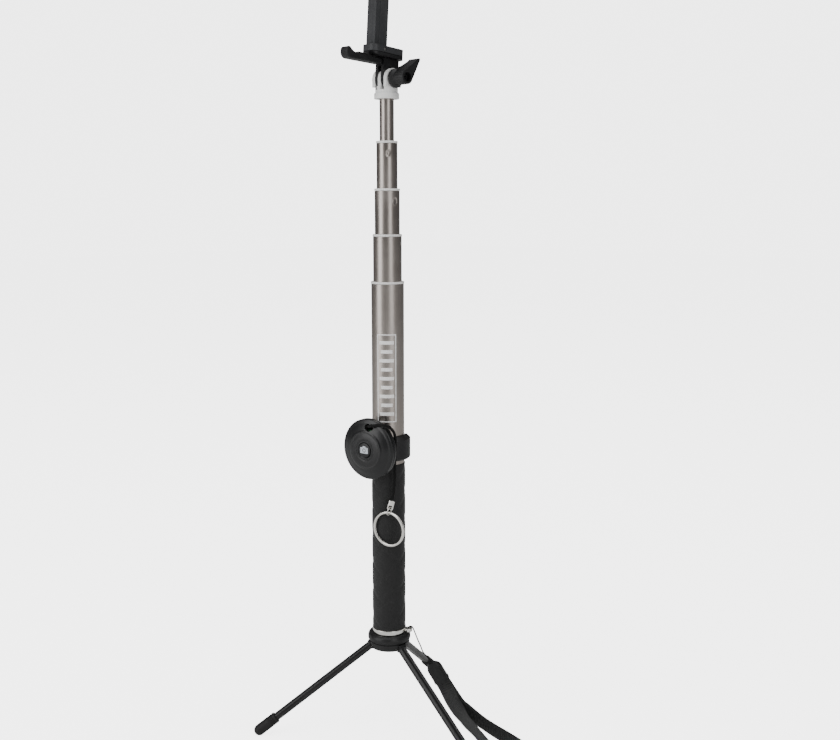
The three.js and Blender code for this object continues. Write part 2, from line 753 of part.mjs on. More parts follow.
// The upper jaw is the lower one turned over and raised by the opening.
function makeUpperJaw() {
  const mirrorZ = 2 * (jaw.neck + fit.press + pad.thick) + jaw.opening;
  const flip = (solid) => solid.mirror([0, 0, 1]).translate([0, 0, mirrorZ]);
  const rootY = spine.back;
  const hook = sideSlab(hookOutline(rootY), -jaw.halfWidth, jaw.halfWidth, 5);
  const head = block(-spine.halfWidth, spine.halfWidth, spine.front, spine.back, jaw.neck - 4.4, jaw.neck + 2.4);
  const sliderTop = mirrorZ - jaw.neck + 2.2;
  const barFront = channel.front + fit.run;
  const barBack = barFront + slider.depth;
  const barHalf = channel.half - fit.run;
  const socket = block(
    -barHalf - fit.press,
    barHalf + fit.press,
    barFront - fit.press,
    barBack + fit.press,
    0,
    sliderTop + fit.press,
  );
  add('upper_jaw', cut(flip(join(hook, head)), socket), finishes.blackPlastic, clampGroup);
  const padStart = jaw.reach + 11.6;
  add('upper_jaw_pad', flip(padBlock(padStart, spine.front - 0.4)), finishes.rubber, clampGroup);
  const bar = block(-barHalf, barHalf, barFront, barBack, slider.bottom, sliderTop);
  const ear = block(-barHalf, barHalf, barBack - 1, channel.back - fit.run, springPin.z - 1.8, springPin.z + 1.8);
  const springY = (barBack + channel.back) / 2;
  const pinHole = alongX(rod(springPin.radius + fit.press, -10, 10, 12)).translate([0, springY, springPin.z]);
  add('jaw_slider', cut(join(bar, ear), pinHole), finishes.greyPlastic, clampGroup);
  const pin = alongX(rod(springPin.radius, -barHalf + 0.2, barHalf - 0.2, 12));
  add('spring_pin', pin.translate([0, springY, springPin.z]), finishes.steel, clampGroup);
  const coil = pipe(spring.bore, spring.radius, spring.bottom, spring.top - 0.5, 12);
  add('jaw_spring', coil.translate([0, springY, 0]), finishes.steel, clampGroup);
}

makeClampBase();
makeSpine();
makeLowerJaw();
makeUpperJaw();

// ---------------------------------------------------------------- remote shutter and its holder
const remoteGroup = groupAt(new THREE.Vector3(0, 0, remote.height));
remoteGroup.rotation.z = degrees(remote.azimuth);

// The lanyard's heart-shaped hole: two round lobes and a point below them.
function heartHole() {
  const outline = new THREE.Shape();
  const half = lanyardHole.apart / 2;
  const r = lanyardHole.lobe;
  const meet = Math.sqrt(r * r - half * half);
  outline.moveTo(0, meet);
  outline.absarc(-half, 0, r, Math.atan2(meet, half), 1.25 * Math.PI, false);
  outline.lineTo(0, -lanyardHole.drop);
  outline.absarc(half, 0, r, -0.25 * Math.PI, Math.PI - Math.atan2(meet, half), false);
  return slab(outline, 0, remote.front + 5, 4).rotate([90, 0, 0]).translate([lanyardHole.x, 0, lanyardHole.z]);
}

function makeRemote() {
  const { radius, back, seam, rim, front, wall } = remote;
  const hole = heartHole();
  const rear = turned([
    [0, back],
    [radius - 3.2, back],
    [radius - 1, back + 1.4],
    [radius, back + 3],
    [radius, seam - fit.press],
    [radius - wall, seam - fit.press],
    [radius - wall - 5.6, seam - fit.press],
    [radius - wall - 5.6, back + wall],
    [0, back + wall],
  ]);
  const footTop = rail.height;
  const footBottom = -rail.stop + fit.run;
  const headFront = back - rail.neckDepth;
  const foot = join(
    block(-rail.neck, rail.neck, -back - 0.5, -headFront + 0.2, footBottom, footTop),
    block(-rail.head, rail.head, -headFront, -headFront + rail.headDepth, footBottom, footTop),
  );
  const rearSolid = cut(join(alongMinusY(rear), foot), hole);
  add('remote_rear_cover', rearSolid, finishes.blackPlastic, remoteGroup);
  const openRadius = remote.buttonRadius + fit.run;
  const inside = radius - wall - 5.6;
  const shell = turned([
    [inside, seam + fit.press],
    [radius, seam + fit.press],
    [radius, rim],
    [radius - 1.6, rim + 1.3],
    [radius - 6, rim + 3],
    [radius - 11.5, front - 0.5],
    [openRadius + 0.6, front],
    [openRadius, front - 0.2],
    [openRadius, front - 2.2],
    [radius - 11.5, front - 2.2],
    [inside, rim + 0.6],
  ]);
  add('remote_front_cover', cut(alongMinusY(shell), hole), finishes.blackPlastic, remoteGroup);
  const cellBack = back + wall + fit.seat;
  const cellFront = cellBack + cell.thick;
  add('coin_cell', alongMinusY(rod(cell.radius, cellBack, cellFront, 24)), finishes.steel, remoteGroup);
  const boardBack = cellFront + fit.seat;
  const boardFront = boardBack + board.thick;
  add('circuit_board', alongMinusY(rod(board.radius, boardBack, boardFront, 24)), finishes.circuit, remoteGroup);
  const domeBack = boardFront + fit.seat;
  const domeFront = domeBack + domeSwitch.thick;
  add('dome_switch', alongMinusY(rod(domeSwitch.radius, domeBack, domeFront)), finishes.steel, remoteGroup);
  const buttonBack = domeFront + 0.9;
  const lip = remote.buttonRadius + 1;
  const button = turned(
    [
      [0, buttonBack],
      [lip, buttonBack],
      [lip, front - 2.5],
      [remote.buttonRadius, front - 2.5],
      [remote.buttonRadius, front + remote.buttonProud - 0.5],
      [remote.buttonRadius - 0.6, front + remote.buttonProud],
      [0, front + remote.buttonProud],
    ],
    24,
  );
  add('shutter_button', alongMinusY(button), finishes.blackPlastic, remoteGroup);
}

function makeHolder() {
  const z0 = holder.bottom - remote.height;
  const z1 = holder.top - remote.height;
  const c = holder.chamfer;
  const band = turned([
    [holder.inner, z0],
    [holder.outer - holder.lowChamfer, z0],
    [holder.outer, z0 + holder.lowChamfer],
    [holder.outer, z1 - c],
    [holder.outer - c, z1],
    [holder.inner, z1],
  ]);
  const mouth = new THREE.Shape();
  const spread = degrees(holder.mouth / 2);
  const far = 2 * holder.outer;
  mouth.moveTo(0, 0);
  mouth.lineTo(far * Math.sin(spread), far * Math.cos(spread));
  mouth.lineTo(-far * Math.sin(spread), far * Math.cos(spread));
  const opening = slab(mouth, z0 - 1, z1 + 1);
  const headFront = remote.back - rail.neckDepth;
  const neckHalf = rail.neck + fit.run;
  const headHalf = rail.head + fit.run;
  const slotBack = -headFront + rail.headDepth + fit.run;
  const neckSlot = block(-neckHalf, neckHalf, -holder.outer - 1, slotBack, -rail.stop, z1 + 1);
  const headSlot = block(-headHalf, headHalf, -headFront - fit.run, slotBack, -rail.stop, z1 + 1);
  add('holder_clip', cut(band, opening, neckSlot, headSlot), finishes.blackPlastic, remoteGroup);
}

makeRemote();
makeHolder();

// ---------------------------------------------------------------- lanyard with its key ring
// Points as vectors, moved out from the stick's axis where the main tube is wider than they were drawn for.
function vectors(points) {
  const out = tubes[0].radius - drawnFor.tube;
  return points.map(([x, y, z]) => {
    const grown = 1 + out / Math.hypot(x, y);
    return new THREE.Vector3(x * grown, y * grown, z);
  });
}

// The lanyard's first points spread from the remote's centre with its radius.
function lanyardRoute() {
  const spread = remote.radius / drawnFor.remote - 1;
  return lanyard.route.map(([x, y, z], i) => {
    const share = i < drawnFor.besideRemote ? spread : 0;
    return [x * (1 + share), y, z + (z - remote.height) * share];
  });
}

// A round cord along a smooth curve through its points.
function cord(route, diameter, steps, sides = 8) {
  const section = new THREE.Shape();
  for (let i = 0; i < sides; i += 1) {
    const a = (2 * Math.PI * i) / sides;
    const place = [(diameter / 2) * Math.cos(a), (diameter / 2) * Math.sin(a)];
    if (i === 0) section.moveTo(...place);
    else section.lineTo(...place);
  }
  const extrudePath = new THREE.CatmullRomCurve3(vectors(route), false, 'centripetal');
  return toSolid(new THREE.ExtrudeGeometry(section, { steps, extrudePath, bevelEnabled: false }));
}

// A ring of round wire that stands in the XZ plane, with straight sides of the given length between its halves.
function wireLoop(radius, straight, wire, around = 8, along = 32) {
  const ring = toSolid(new THREE.TorusGeometry(radius, wire, around, along).rotateX(Math.PI / 2));
  if (straight === 0) return ring;
  const far = 2 * radius;
  const upper = ring.intersect(block(-far, far, -far, far, 0, far)).translate([0, 0, straight / 2]);
  const lower = ring.intersect(block(-far, far, -far, far, -far, 0)).translate([0, 0, -straight / 2]);
  const sides = [-radius, radius].map((x) => {
    const side = rod(wire, -straight / 2 - 0.01, straight / 2 + 0.01, around);
    return side.translate([x, 0, 0]);
  });
  return join(upper, lower, ...sides);
}

function makeLanyard() {
  add('lanyard_cord', cord(lanyardRoute(), lanyard.diameter, lanyard.steps), finishes.webbing);
  const hang = groupAt(vectors([chain.end])[0]);
  hang.rotation.set(0, degrees(chain.lean), degrees(chain.azimuth), 'ZYX');
  const halfWidth = crimp.width / 2;
  const halfThick = crimp.thick / 2;
  const body = slab(roundedRectangle(-halfWidth, halfWidth, -halfThick, halfThick, 1), -crimp.height, -fit.seat, 3);
  const tabBottom = -crimp.height - crimp.tabHeight;
  const tab = block(-halfWidth, halfWidth, -crimp.tabThick / 2, crimp.tabThick / 2, tabBottom, -crimp.height + 0.5);
  const eye = rod(crimp.eye, -2, 2).rotate([90, 0, 0]).translate([0, 0, -crimp.eyeDrop]);
  add('lanyard_crimp', cut(join(body, tab), eye), finishes.chrome, hang);
  const loop = wireLoop(link.half, link.straight, link.wire, 8, 24).rotate([0, 0, link.turn]);
  const drop = crimp.eyeDrop + link.half + link.straight / 2;
  add('lanyard_link', loop.translate([0, 0, -drop]), finishes.chrome, hang);
  const ringGroup = groupAt(vectors([keyRing.place])[0]);
  ringGroup.rotation.z = degrees(keyRing.azimuth);
  add('key_ring', wireLoop(keyRing.radius, 0, keyRing.wire, 10, 48), finishes.chrome, ringGroup);
}

// ---------------------------------------------------------------- wrist strap
// A flat band along a smooth curve. Its width starts and ends as the cap's and is upright in between.
function ribbon(route, width, thick, steps) {
  const curve = new THREE.CatmullRomCurve3(vectors(route), false, 'centripetal');
  const length = curve.getLength();
  const upright = new THREE.Vector3(0, 0, 1);
  const capWide = new THREE.Vector3(...cap.wide);
  const corners = [[-1, -1], [1, -1], [1, 1], [-1, 1]];
  const positions = [];
  for (let i = 0; i <= steps; i += 1) {
    const middle = curve.getPointAt(i / steps);
    const along = curve.getTangentAt(i / steps);
    const fromEnd = (Math.min(i, steps - i) / steps) * length;
    const wide = capWide.clone().lerp(upright, THREE.MathUtils.smoothstep(fromEnd, 0, webbing.settle));
    const up = wide.addScaledVector(along, -wide.dot(along)).normalize();
    const across = new THREE.Vector3().crossVectors(along, up);
    corners.forEach(([u, v]) => {
      const corner = middle.clone().addScaledVector(up, (u * width) / 2);
      positions.push(...corner.addScaledVector(across, (v * thick) / 2).toArray());
    });
  }
  const faces = [0, 2, 1, 0, 3, 2];
  for (let i = 0; i < steps; i += 1) {
    for (let k = 0; k < 4; k += 1) {
      const [p, q] = [4 * i + k, 4 * i + ((k + 1) % 4)];
      faces.push(p, q, q + 4, p, q + 4, p + 4);
    }
  }
  const last = 4 * steps;
  faces.push(last, last + 1, last + 2, last, last + 2, last + 3);
  const geometry = new THREE.BufferGeometry();
  geometry.setAttribute('position', new THREE.Float32BufferAttribute(positions, 3));
  geometry.setIndex(faces);
  return toSolid(geometry);
}

function makeStrap() {
  add('strap_string', cord(string.route, string.diameter, string.steps, 6), finishes.webbing);
  add('strap_webbing', ribbon(webbing.route, webbing.width, webbing.thick, webbing.steps), finishes.webbing);
  const [top, end] = vectors([cap.top, cap.end]);
  const along = end.clone().sub(top);
  const length = along.length();
  along.normalize();
  const wide = new THREE.Vector3(...cap.wide);
  const up = wide.addScaledVector(along, -wide.dot(along)).normalize();
  const across = new THREE.Vector3().crossVectors(along, up);
  const capGroup = groupAt(top);
  capGroup.quaternion.setFromRotationMatrix(new THREE.Matrix4().makeBasis(up, across, along));
  const half = cap.width / 2;
  const halfThick = cap.thick / 2;
  const outline = new THREE.Shape();
  outline.moveTo(-half * 0.45, 0);
  outline.quadraticCurveTo(-half * 0.9, 0.8, -half, 6);
  outline.lineTo(-half, length);
  outline.lineTo(half, length);
  outline.lineTo(half, 6);
  outline.quadraticCurveTo(half * 0.9, 0.8, half * 0.45, 0);
  const face = slab(outline, -halfThick, halfThick, 5).rotate([90, 0, 0]);
  const side = new THREE.Shape();
  side.moveTo(-halfThick * 0.5, -0.1);
  side.quadraticCurveTo(-halfThick, 1, -halfThick, 5);
  side.lineTo(-halfThick, length + 0.1);
  side.lineTo(halfThick, length + 0.1);
  side.lineTo(halfThick, 5);
  side.quadraticCurveTo(halfThick, 1, halfThick * 0.5, -0.1);
  const body = face.intersect(sideSlab(side, -half - 1, half + 1, 5));
  const mouthHalf = webbing.width / 2 + fit.seat;
  const mouthThick = halfThick - 0.8;
  const mouth = block(-mouthHalf, mouthHalf, -mouthThick, mouthThick, length - cap.mouth, length + 1);
  add('strap_cap', cut(body, mouth), finishes.blackPlastic, capGroup);
}

makeLanyard();
makeStrap();

export default stick;
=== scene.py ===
from math import cos, pi, radians, sin

import bmesh
import bpy
import numpy as np
from mathutils import Matrix, Vector


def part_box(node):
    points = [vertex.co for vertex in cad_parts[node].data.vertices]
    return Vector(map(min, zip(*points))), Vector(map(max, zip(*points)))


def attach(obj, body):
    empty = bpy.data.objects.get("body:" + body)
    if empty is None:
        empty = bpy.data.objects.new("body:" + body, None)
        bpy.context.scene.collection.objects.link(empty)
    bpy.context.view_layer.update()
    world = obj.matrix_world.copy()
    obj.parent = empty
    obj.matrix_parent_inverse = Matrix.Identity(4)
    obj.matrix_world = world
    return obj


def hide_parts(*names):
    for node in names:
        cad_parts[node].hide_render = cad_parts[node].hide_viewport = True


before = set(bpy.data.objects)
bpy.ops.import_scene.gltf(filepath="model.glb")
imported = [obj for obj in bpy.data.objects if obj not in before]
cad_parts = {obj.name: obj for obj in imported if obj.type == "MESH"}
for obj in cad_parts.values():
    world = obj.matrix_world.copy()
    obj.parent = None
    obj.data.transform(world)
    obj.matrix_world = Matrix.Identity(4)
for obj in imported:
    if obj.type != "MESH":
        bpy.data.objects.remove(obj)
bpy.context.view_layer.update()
print("frame loaded:", len(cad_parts), "nodes")

mm = 0.001  # shapes below are worked out in millimetres, routes in metres

# view, floor and light
cameraSettings = {
    "place": (0.5753, -0.5403, 0.42057),
    "down": 9.24, "turn": 45.0, "lens": 44.28, "sensor": 36, "near": 0.01, "far": 60,
}
floorSettings = {
    "size": 14.0, "drop": 0.0002,
    "colour": (0.93, 0.93, 0.925, 1),
    "roughness": 0.9, "specular": 0.1,
    "glow": 3.9,  # seen by the camera alone
}
worldSettings = {"backdrop": 4.1, "surroundings": 0.14}
lightSettings = {
    # bearing is measured from the front of the view towards its right
    "leftBox": {"bearing": -60, "height": 0.9, "distance": 1.9, "size": (1.1, 2.0), "power": 26},
    "rightBox": {"bearing": 30, "height": 0.9, "distance": 1.9, "size": (0.8, 2.0), "power": 13},
    "topBox": {"bearing": 0, "height": 2.4, "distance": 0.3, "size": (2.6, 2.6), "power": 36},
}
lightAim = (0, 0, 0.3)


def newObject(name, data):
    item = bpy.data.objects.new(name, data)
    bpy.context.scene.collection.objects.link(item)
    return item


def makeCamera():
    lens = bpy.data.cameras.new("viewCamera")
    lens.lens = cameraSettings["lens"]
    lens.sensor_width = cameraSettings["sensor"]
    lens.clip_start = cameraSettings["near"]
    lens.clip_end = cameraSettings["far"]
    camera = newObject("viewCamera", lens)
    camera.location = cameraSettings["place"]
    camera.rotation_euler = (radians(90 - cameraSettings["down"]), 0, radians(cameraSettings["turn"]))
    bpy.context.scene.camera = camera


# a function that joins a named output to a named input
def linker(tree):
    def link(source, output, target, entry):
        tree.links.new(source.outputs[output], target.inputs[entry])

    return link


def mathNode(tree, operation, second=None):
    node = tree.nodes.new("ShaderNodeMath")
    node.operation = operation
    if second is not None:
        node.inputs[1].default_value = second
    return node


def makeFloor():
    half = floorSettings["size"] / 2
    mesh = bpy.data.meshes.new("studioFloor")
    corners = [(-half, -half, 0), (half, -half, 0), (half, half, 0), (-half, half, 0)]
    mesh.from_pydata(corners, [], [(0, 1, 2, 3)])
    floor = newObject("studioFloor", mesh)
    floor.location.z = -floorSettings["drop"]
    material = bpy.data.materials.new("studioFloor")
    material.use_nodes = True
    shader = material.node_tree.nodes["Principled BSDF"]
    shader.inputs["Base Color"].default_value = floorSettings["colour"]
    shader.inputs["Roughness"].default_value = floorSettings["roughness"]
    shader.inputs["Specular IOR Level"].default_value = floorSettings["specular"]
    shader.inputs["Emission Color"].default_value = (1, 1, 1, 1)
    link = linker(material.node_tree)
    path = material.node_tree.nodes.new("ShaderNodeLightPath")
    glow = mathNode(material.node_tree, "MULTIPLY", floorSettings["glow"])
    link(path, "Is Camera Ray", glow, 0)
    link(glow, 0, shader, "Emission Strength")
    mesh.materials.append(material)


def makeWorld():
    world = bpy.data.worlds.new("studioWorld")
    world.use_nodes = True
    tree = world.node_tree
    link = linker(tree)
    tree.nodes.clear()
    output = tree.nodes.new("ShaderNodeOutputWorld")
    seen = tree.nodes.new("ShaderNodeBackground")  # the backdrop itself
    seen.inputs["Strength"].default_value = worldSettings["backdrop"]
    around = tree.nodes.new("ShaderNodeBackground")  # what lights and is mirrored
    around.inputs["Strength"].default_value = worldSettings["surroundings"]
    for shade in (seen, around):
        shade.inputs["Color"].default_value = (1, 1, 1, 1)
    path = tree.nodes.new("ShaderNodeLightPath")
    mix = tree.nodes.new("ShaderNodeMixShader")
    link(path, "Is Camera Ray", mix, 0)
    link(around, 0, mix, 1)
    link(seen, 0, mix, 2)
    link(mix, 0, output, "Surface")
    bpy.context.scene.world = world


def makeLight(name, bearing, height, distance, size, power):
    lamp = bpy.data.lights.new(name, "AREA")
    lamp.shape = "RECTANGLE"
    lamp.size, lamp.size_y = size
    lamp.energy = power
    light = newObject(name, lamp)
    heading = radians(bearing + cameraSettings["turn"])  # from -Y towards +X
    light.location = (distance * sin(heading), -distance * cos(heading), height)
    aim = Vector(lightAim) - light.location
    light.rotation_euler = aim.to_track_quat("-Z", "Y").to_euler()
    light.visible_camera = False


makeCamera()
makeFloor()
makeWorld()
for lightName, settings in lightSettings.items():
    makeLight(lightName, **settings)
print("stage set")

# material building blocks
textureSettings = {
    "mottle": {"detail": 3, "from": (0.35, 0.68)},
    "scuffs": {"detail": 5, "from": (0.56, 0.72)},
    "grain": {"detail": 4},
    # a scuff's colour is the finish's own, multiplied and lifted
    "worn": {"gain": 1.2, "lift": 0.25},
}


def nodeGroup(name, inputs, outputs):
    group = bpy.data.node_groups.new(name, "ShaderNodeTree")
    for label, kind in inputs:
        group.interface.new_socket(name=label, in_out="INPUT", socket_type=kind)
    for label, kind in outputs:
        group.interface.new_socket(name=label, in_out="OUTPUT", socket_type=kind)
    start = group.nodes.new("NodeGroupInput")
    end = group.nodes.new("NodeGroupOutput")
    return group, start, end


number, colourKind, vectorKind = "NodeSocketFloat", "NodeSocketColor", "NodeSocketVector"


# one noise of its own detail, and a range that maps what it gives
def noiseNode(group, kind):
    noise = group.nodes.new("ShaderNodeTexNoise")
    noise.inputs["Detail"].default_value = textureSettings[kind]["detail"]
    return noise


def rangeNode(tree, side, low, high):
    node = tree.nodes.new("ShaderNodeMapRange")
    node.inputs[side + " Min"].default_value = low
    node.inputs[side + " Max"].default_value = high
    return node


def colourMix(tree):
    mix = tree.nodes.new("ShaderNodeMix")
    mix.data_type = "RGBA"
    return mix


# soft clouds of one colour in another: a noise cut to its middle range, times an amount
def makeMottle():
    inputs = [("Place", vectorKind), ("Base", colourKind), ("Patch", colourKind)]
    inputs += [("Size", number), ("Amount", number)]
    group, start, end = nodeGroup("mottle", inputs, [("Colour", colourKind), ("Value", number)])
    link = linker(group)
    broad = noiseNode(group, "mottle")
    link(start, "Place", broad, "Vector")
    link(start, "Size", broad, "Scale")
    contrast = rangeNode(group, "From", *textureSettings["mottle"]["from"])
    link(broad, "Fac", contrast, "Value")
    share = mathNode(group, "MULTIPLY")
    link(contrast, 0, share, 0)
    link(start, "Amount", share, 1)
    mix = colourMix(group)
    link(share, 0, mix, "Factor")
    link(start, "Base", mix, "A")
    link(start, "Patch", mix, "B")
    link(mix, "Result", end, "Colour")
    link(contrast, 0, end, "Value")
    return group


# thin streaks along one direction: noise on coordinates squeezed along it, kept where it peaks
def makeScuffs():
    inputs = [("Place", vectorKind), ("Stretch", vectorKind), ("Fineness", number)]
    group, start, end = nodeGroup("scuffs", inputs, [("Value", number)])
    new, link = group.nodes.new, linker(group)
    squeeze = new("ShaderNodeVectorMath")
    squeeze.operation = "MULTIPLY"
    link(start, "Place", squeeze, 0)
    link(start, "Stretch", squeeze, 1)
    streak = noiseNode(group, "scuffs")
    link(squeeze, 0, streak, "Vector")
    link(start, "Fineness", streak, "Scale")
    peak = rangeNode(group, "From", *textureSettings["scuffs"]["from"])
    link(streak, "Fac", peak, "Value")
    link(peak, 0, end, "Value")
    return group


# moulded or cast texture: a fine noise and rounded cells, as a bumped normal
def makeGrain():
    inputs = [("Place", vectorKind), ("Fineness", number), ("Depth", number), ("Strength", number)]
    group, start, end = nodeGroup("grain", inputs, [("Normal", vectorKind), ("Height", number)])
    new, link = group.nodes.new, linker(group)
    cells = new("ShaderNodeTexVoronoi")
    cells.feature = "SMOOTH_F1"
    link(start, "Place", cells, "Vector")
    link(start, "Fineness", cells, "Scale")
    fine = noiseNode(group, "grain")
    link(start, "Place", fine, "Vector")
    link(start, "Fineness", fine, "Scale")
    total = mathNode(group, "ADD")
    link(cells, "Distance", total, 0)
    link(fine, "Fac", total, 1)
    bump = new("ShaderNodeBump")
    link(total, 0, bump, "Height")
    link(start, "Depth", bump, "Distance")
    link(start, "Strength", bump, "Strength")
    link(bump, "Normal", end, "Normal")
    link(total, 0, end, "Height")
    return group


mottleGroup = makeMottle()
scuffGroup = makeScuffs()
grainGroup = makeGrain()


def finish(name, base, patch, roughness, metal=0.0, mottle=40, mottleAmount=0.6, grain=2500,
           depth=0.00003, bump=0.3, stretch=(1, 1, 1), scuff=60, scuffLight=0.12, roughVary=0.1,
           coat=0.0, specular=0.5, sheen=0.0):
    material = bpy.data.materials.new(name)
    material.use_nodes = True
    tree = material.node_tree
    new, link = tree.nodes.new, linker(tree)
    shader = tree.nodes["Principled BSDF"]
    coordinates = new("ShaderNodeTexCoord")

    def use(group, **values):
        node = new("ShaderNodeGroup")
        node.node_tree = group
        link(coordinates, "Object", node, "Place")
        for key, value in values.items():
            node.inputs[key].default_value = value
        return node

    clouds = use(mottleGroup, Base=(*base, 1), Patch=(*patch, 1), Size=mottle, Amount=mottleAmount)
    marks = use(scuffGroup, Stretch=stretch, Fineness=scuff)
    texture = use(grainGroup, Fineness=grain, Depth=depth, Strength=bump)
    lighten = mathNode(tree, "MULTIPLY", scuffLight)
    link(marks, "Value", lighten, 0)
    worn = colourMix(tree)
    wear = textureSettings["worn"]
    worn.inputs["B"].default_value = (*[min(1, wear["lift"] + wear["gain"] * c) for c in base], 1)
    link(lighten, 0, worn, "Factor")
    link(clouds, "Colour", worn, "A")
    link(worn, "Result", shader, "Base Color")
    rough = rangeNode(tree, "To", max(0.03, roughness - roughVary / 2), min(1, roughness + roughVary / 2))
    link(clouds, "Value", rough, "Value")
    link(rough, 0, shader, "Roughness")
    link(texture, "Normal", shader, "Normal")
    shader.inputs["Metallic"].default_value = metal
    shader.inputs["Specular IOR Level"].default_value = specular
    shader.inputs["Coat Weight"].default_value = coat
    shader.inputs["Sheen Weight"].default_value = sheen
    return material


along = (1, 1, 0.03)  # streaks that run up the stick
around = (0.05, 0.05, 1.5)  # streaks that run round it
finishSettings = {
    "satinTube": dict(slot="tube_metal", base=(0.36, 0.325, 0.30), patch=(0.42, 0.385, 0.36),
        roughness=0.34, metal=1.0, mottle=28, grain=6000, depth=0.000012, bump=0.2, stretch=along,
        scuff=900, scuffLight=0.1),
    "paleCollar": dict(slot="collar_pale", base=(0.86, 0.85, 0.83), patch=(0.90, 0.89, 0.87),
        roughness=0.38, mottle=90, grain=3500, bump=0.15, stretch=around, scuffLight=0.15),
    "whiteHead": dict(slot="head_white", base=(0.90, 0.90, 0.89), patch=(0.82, 0.82, 0.81), roughness=0.45,
        mottle=120, grain=3500, bump=0.2, scuff=300, scuffLight=0.1),
    "blackPlastic": dict(slot="black_plastic", base=(0.01, 0.01, 0.0108), patch=(0.016, 0.016, 0.017),
        roughness=0.46, mottle=90, grain=2600, depth=0.00004, bump=0.35, scuff=320, scuffLight=0.016,
        specular=0.34),
    "hubPlastic": dict(slot="black_plastic", base=(0.0085, 0.0085, 0.0088), patch=(0.014, 0.014, 0.0148),
        roughness=0.42, mottle=110, grain=2200, depth=0.00004, scuff=300, scuffLight=0.016, specular=0.34),
    "legPaint": dict(slot="black_plastic", base=(0.009, 0.009, 0.0096), patch=(0.016, 0.016, 0.017),
        roughness=0.40, metal=0.25, mottle=70, grain=3000, scuff=500, scuffLight=0.03),
    "greyPlastic": dict(slot="grey_plastic", base=(0.034, 0.035, 0.0375), patch=(0.046, 0.047, 0.05),
        roughness=0.5, mottle=80, grain=2200, depth=0.00004, bump=0.4, stretch=along, scuff=500,
        scuffLight=0.03, specular=0.36),
    "glossBlack": dict(slot="gloss_black", base=(0.0058, 0.006, 0.0066), patch=(0.009, 0.0095, 0.0105),
        roughness=0.36, mottle=60, grain=4200, depth=0.000012, bump=0.12, scuff=260, scuffLight=0.012,
        coat=0.08, specular=0.36),
    "buttonBlack": dict(slot="gloss_black", base=(0.0055, 0.0058, 0.0062), patch=(0.0085, 0.009, 0.0098),
        roughness=0.36, mottle=120, grain=3600, depth=0.00002, bump=0.2, scuffLight=0.012, specular=0.34),
    "gripRubber": dict(slot="grip_rubber", base=(0.0075, 0.0075, 0.0077), patch=(0.012, 0.012, 0.0124),
        roughness=0.72, mottle=60, grain=1500, depth=0.00007, bump=0.55, scuff=200, scuffLight=0.018,
        specular=0.35, sheen=0.15),
    "footRubber": dict(slot="grip_rubber", base=(0.007, 0.007, 0.0073), patch=(0.013, 0.013, 0.013),
        roughness=0.66, mottle=140, grain=1700, depth=0.00006, bump=0.5, scuff=400, scuffLight=0.04,
        specular=0.35),
    "padRubber": dict(slot="grip_rubber", base=(0.01, 0.01, 0.01), patch=(0.016, 0.016, 0.016),
        roughness=0.75, mottle=200, grain=1400, depth=0.00008, bump=0.6, scuffLight=0.02, specular=0.3),
    "chrome": dict(slot="chrome", base=(0.78, 0.77, 0.74), patch=(0.70, 0.68, 0.64), roughness=0.12,
        metal=1.0, mottle=150, grain=5000, depth=0.000008, bump=0.08, stretch=around, scuff=300,
        scuffLight=0.1, roughVary=0.08),
    "ringSteel": dict(slot="chrome", base=(0.78, 0.765, 0.73), patch=(0.62, 0.60, 0.56), roughness=0.12,
        metal=1.0, mottle=160, grain=4000, depth=0.00001, bump=0.12, scuff=500, scuffLight=0.1),
    "zincSteel": dict(slot="steel", base=(0.52, 0.51, 0.49), patch=(0.42, 0.41, 0.39), roughness=0.32,
        metal=1.0, mottle=260, grain=3000, depth=0.00002, bump=0.2, scuff=500, scuffLight=0.1),
    "darkSteel": dict(slot="steel", base=(0.05, 0.05, 0.052), patch=(0.035, 0.035, 0.036), roughness=0.4,
        metal=0.9, mottle=260, grain=3000, depth=0.00002, bump=0.2, scuff=500, scuffLight=0.04),
    "printWhite": dict(slot="tube_metal", base=(0.95, 0.945, 0.94), patch=(0.88, 0.875, 0.87),
        roughness=0.5, mottle=160, grain=4000, depth=0.00001, bump=0.15, scuff=400, scuffLight=0.0),
    "iconPale": dict(slot="gloss_black", base=(0.56, 0.60, 0.64), patch=(0.50, 0.54, 0.58), roughness=0.45,
        mottle=300, grain=4000, depth=0.00001, bump=0.15, scuffLight=0.0),
    "circuitGreen": dict(slot="circuit", base=(0.015, 0.10, 0.04), patch=(0.02, 0.13, 0.05),
        roughness=0.35, mottle=200, grain=3000, bump=0.15, scuffLight=0.0, coat=0.4),
    "cordBlack": dict(slot="cord_black", base=(0.0075, 0.0075, 0.0076), patch=(0.016, 0.016, 0.016),
        roughness=0.85, mottle=500, grain=1600, depth=0.00012, bump=0.8, scuffLight=0.0, specular=0.12),
    "webbing": dict(slot="webbing", base=(0.0085, 0.009, 0.009), patch=(0.016, 0.017, 0.017),
        roughness=0.58, mottle=260, grain=2000, depth=0.0001, bump=0.7, scuffLight=0.0, sheen=0.05),
}
slotOf = {name: settings.pop("slot") for name, settings in finishSettings.items()}
finishes = {name: finish(name, **settings) for name, settings in finishSettings.items()}
print("finishes made:", len(finishes))

# shapes


# quads between the neighbouring rows and columns of a grid of points
def gridFaces(rows, columns, wrapRows=False, wrapColumns=False):
    i = np.arange(rows if wrapRows else rows - 1)[:, None]
    j = np.arange(columns if wrapColumns else columns - 1)[None, :]
    nextRow, nextColumn = (i + 1) % rows, (j + 1) % columns
    quads = [i * columns + j, i * columns + nextColumn, nextRow * columns + nextColumn, nextRow * columns + j]
    return np.stack(np.broadcast_arrays(*quads), -1).reshape(-1, 4)


meshSettings = {"weld": 2e-7, "frameWeld": 1e-6, "flatAngle": 0.6, "sharp": 38}


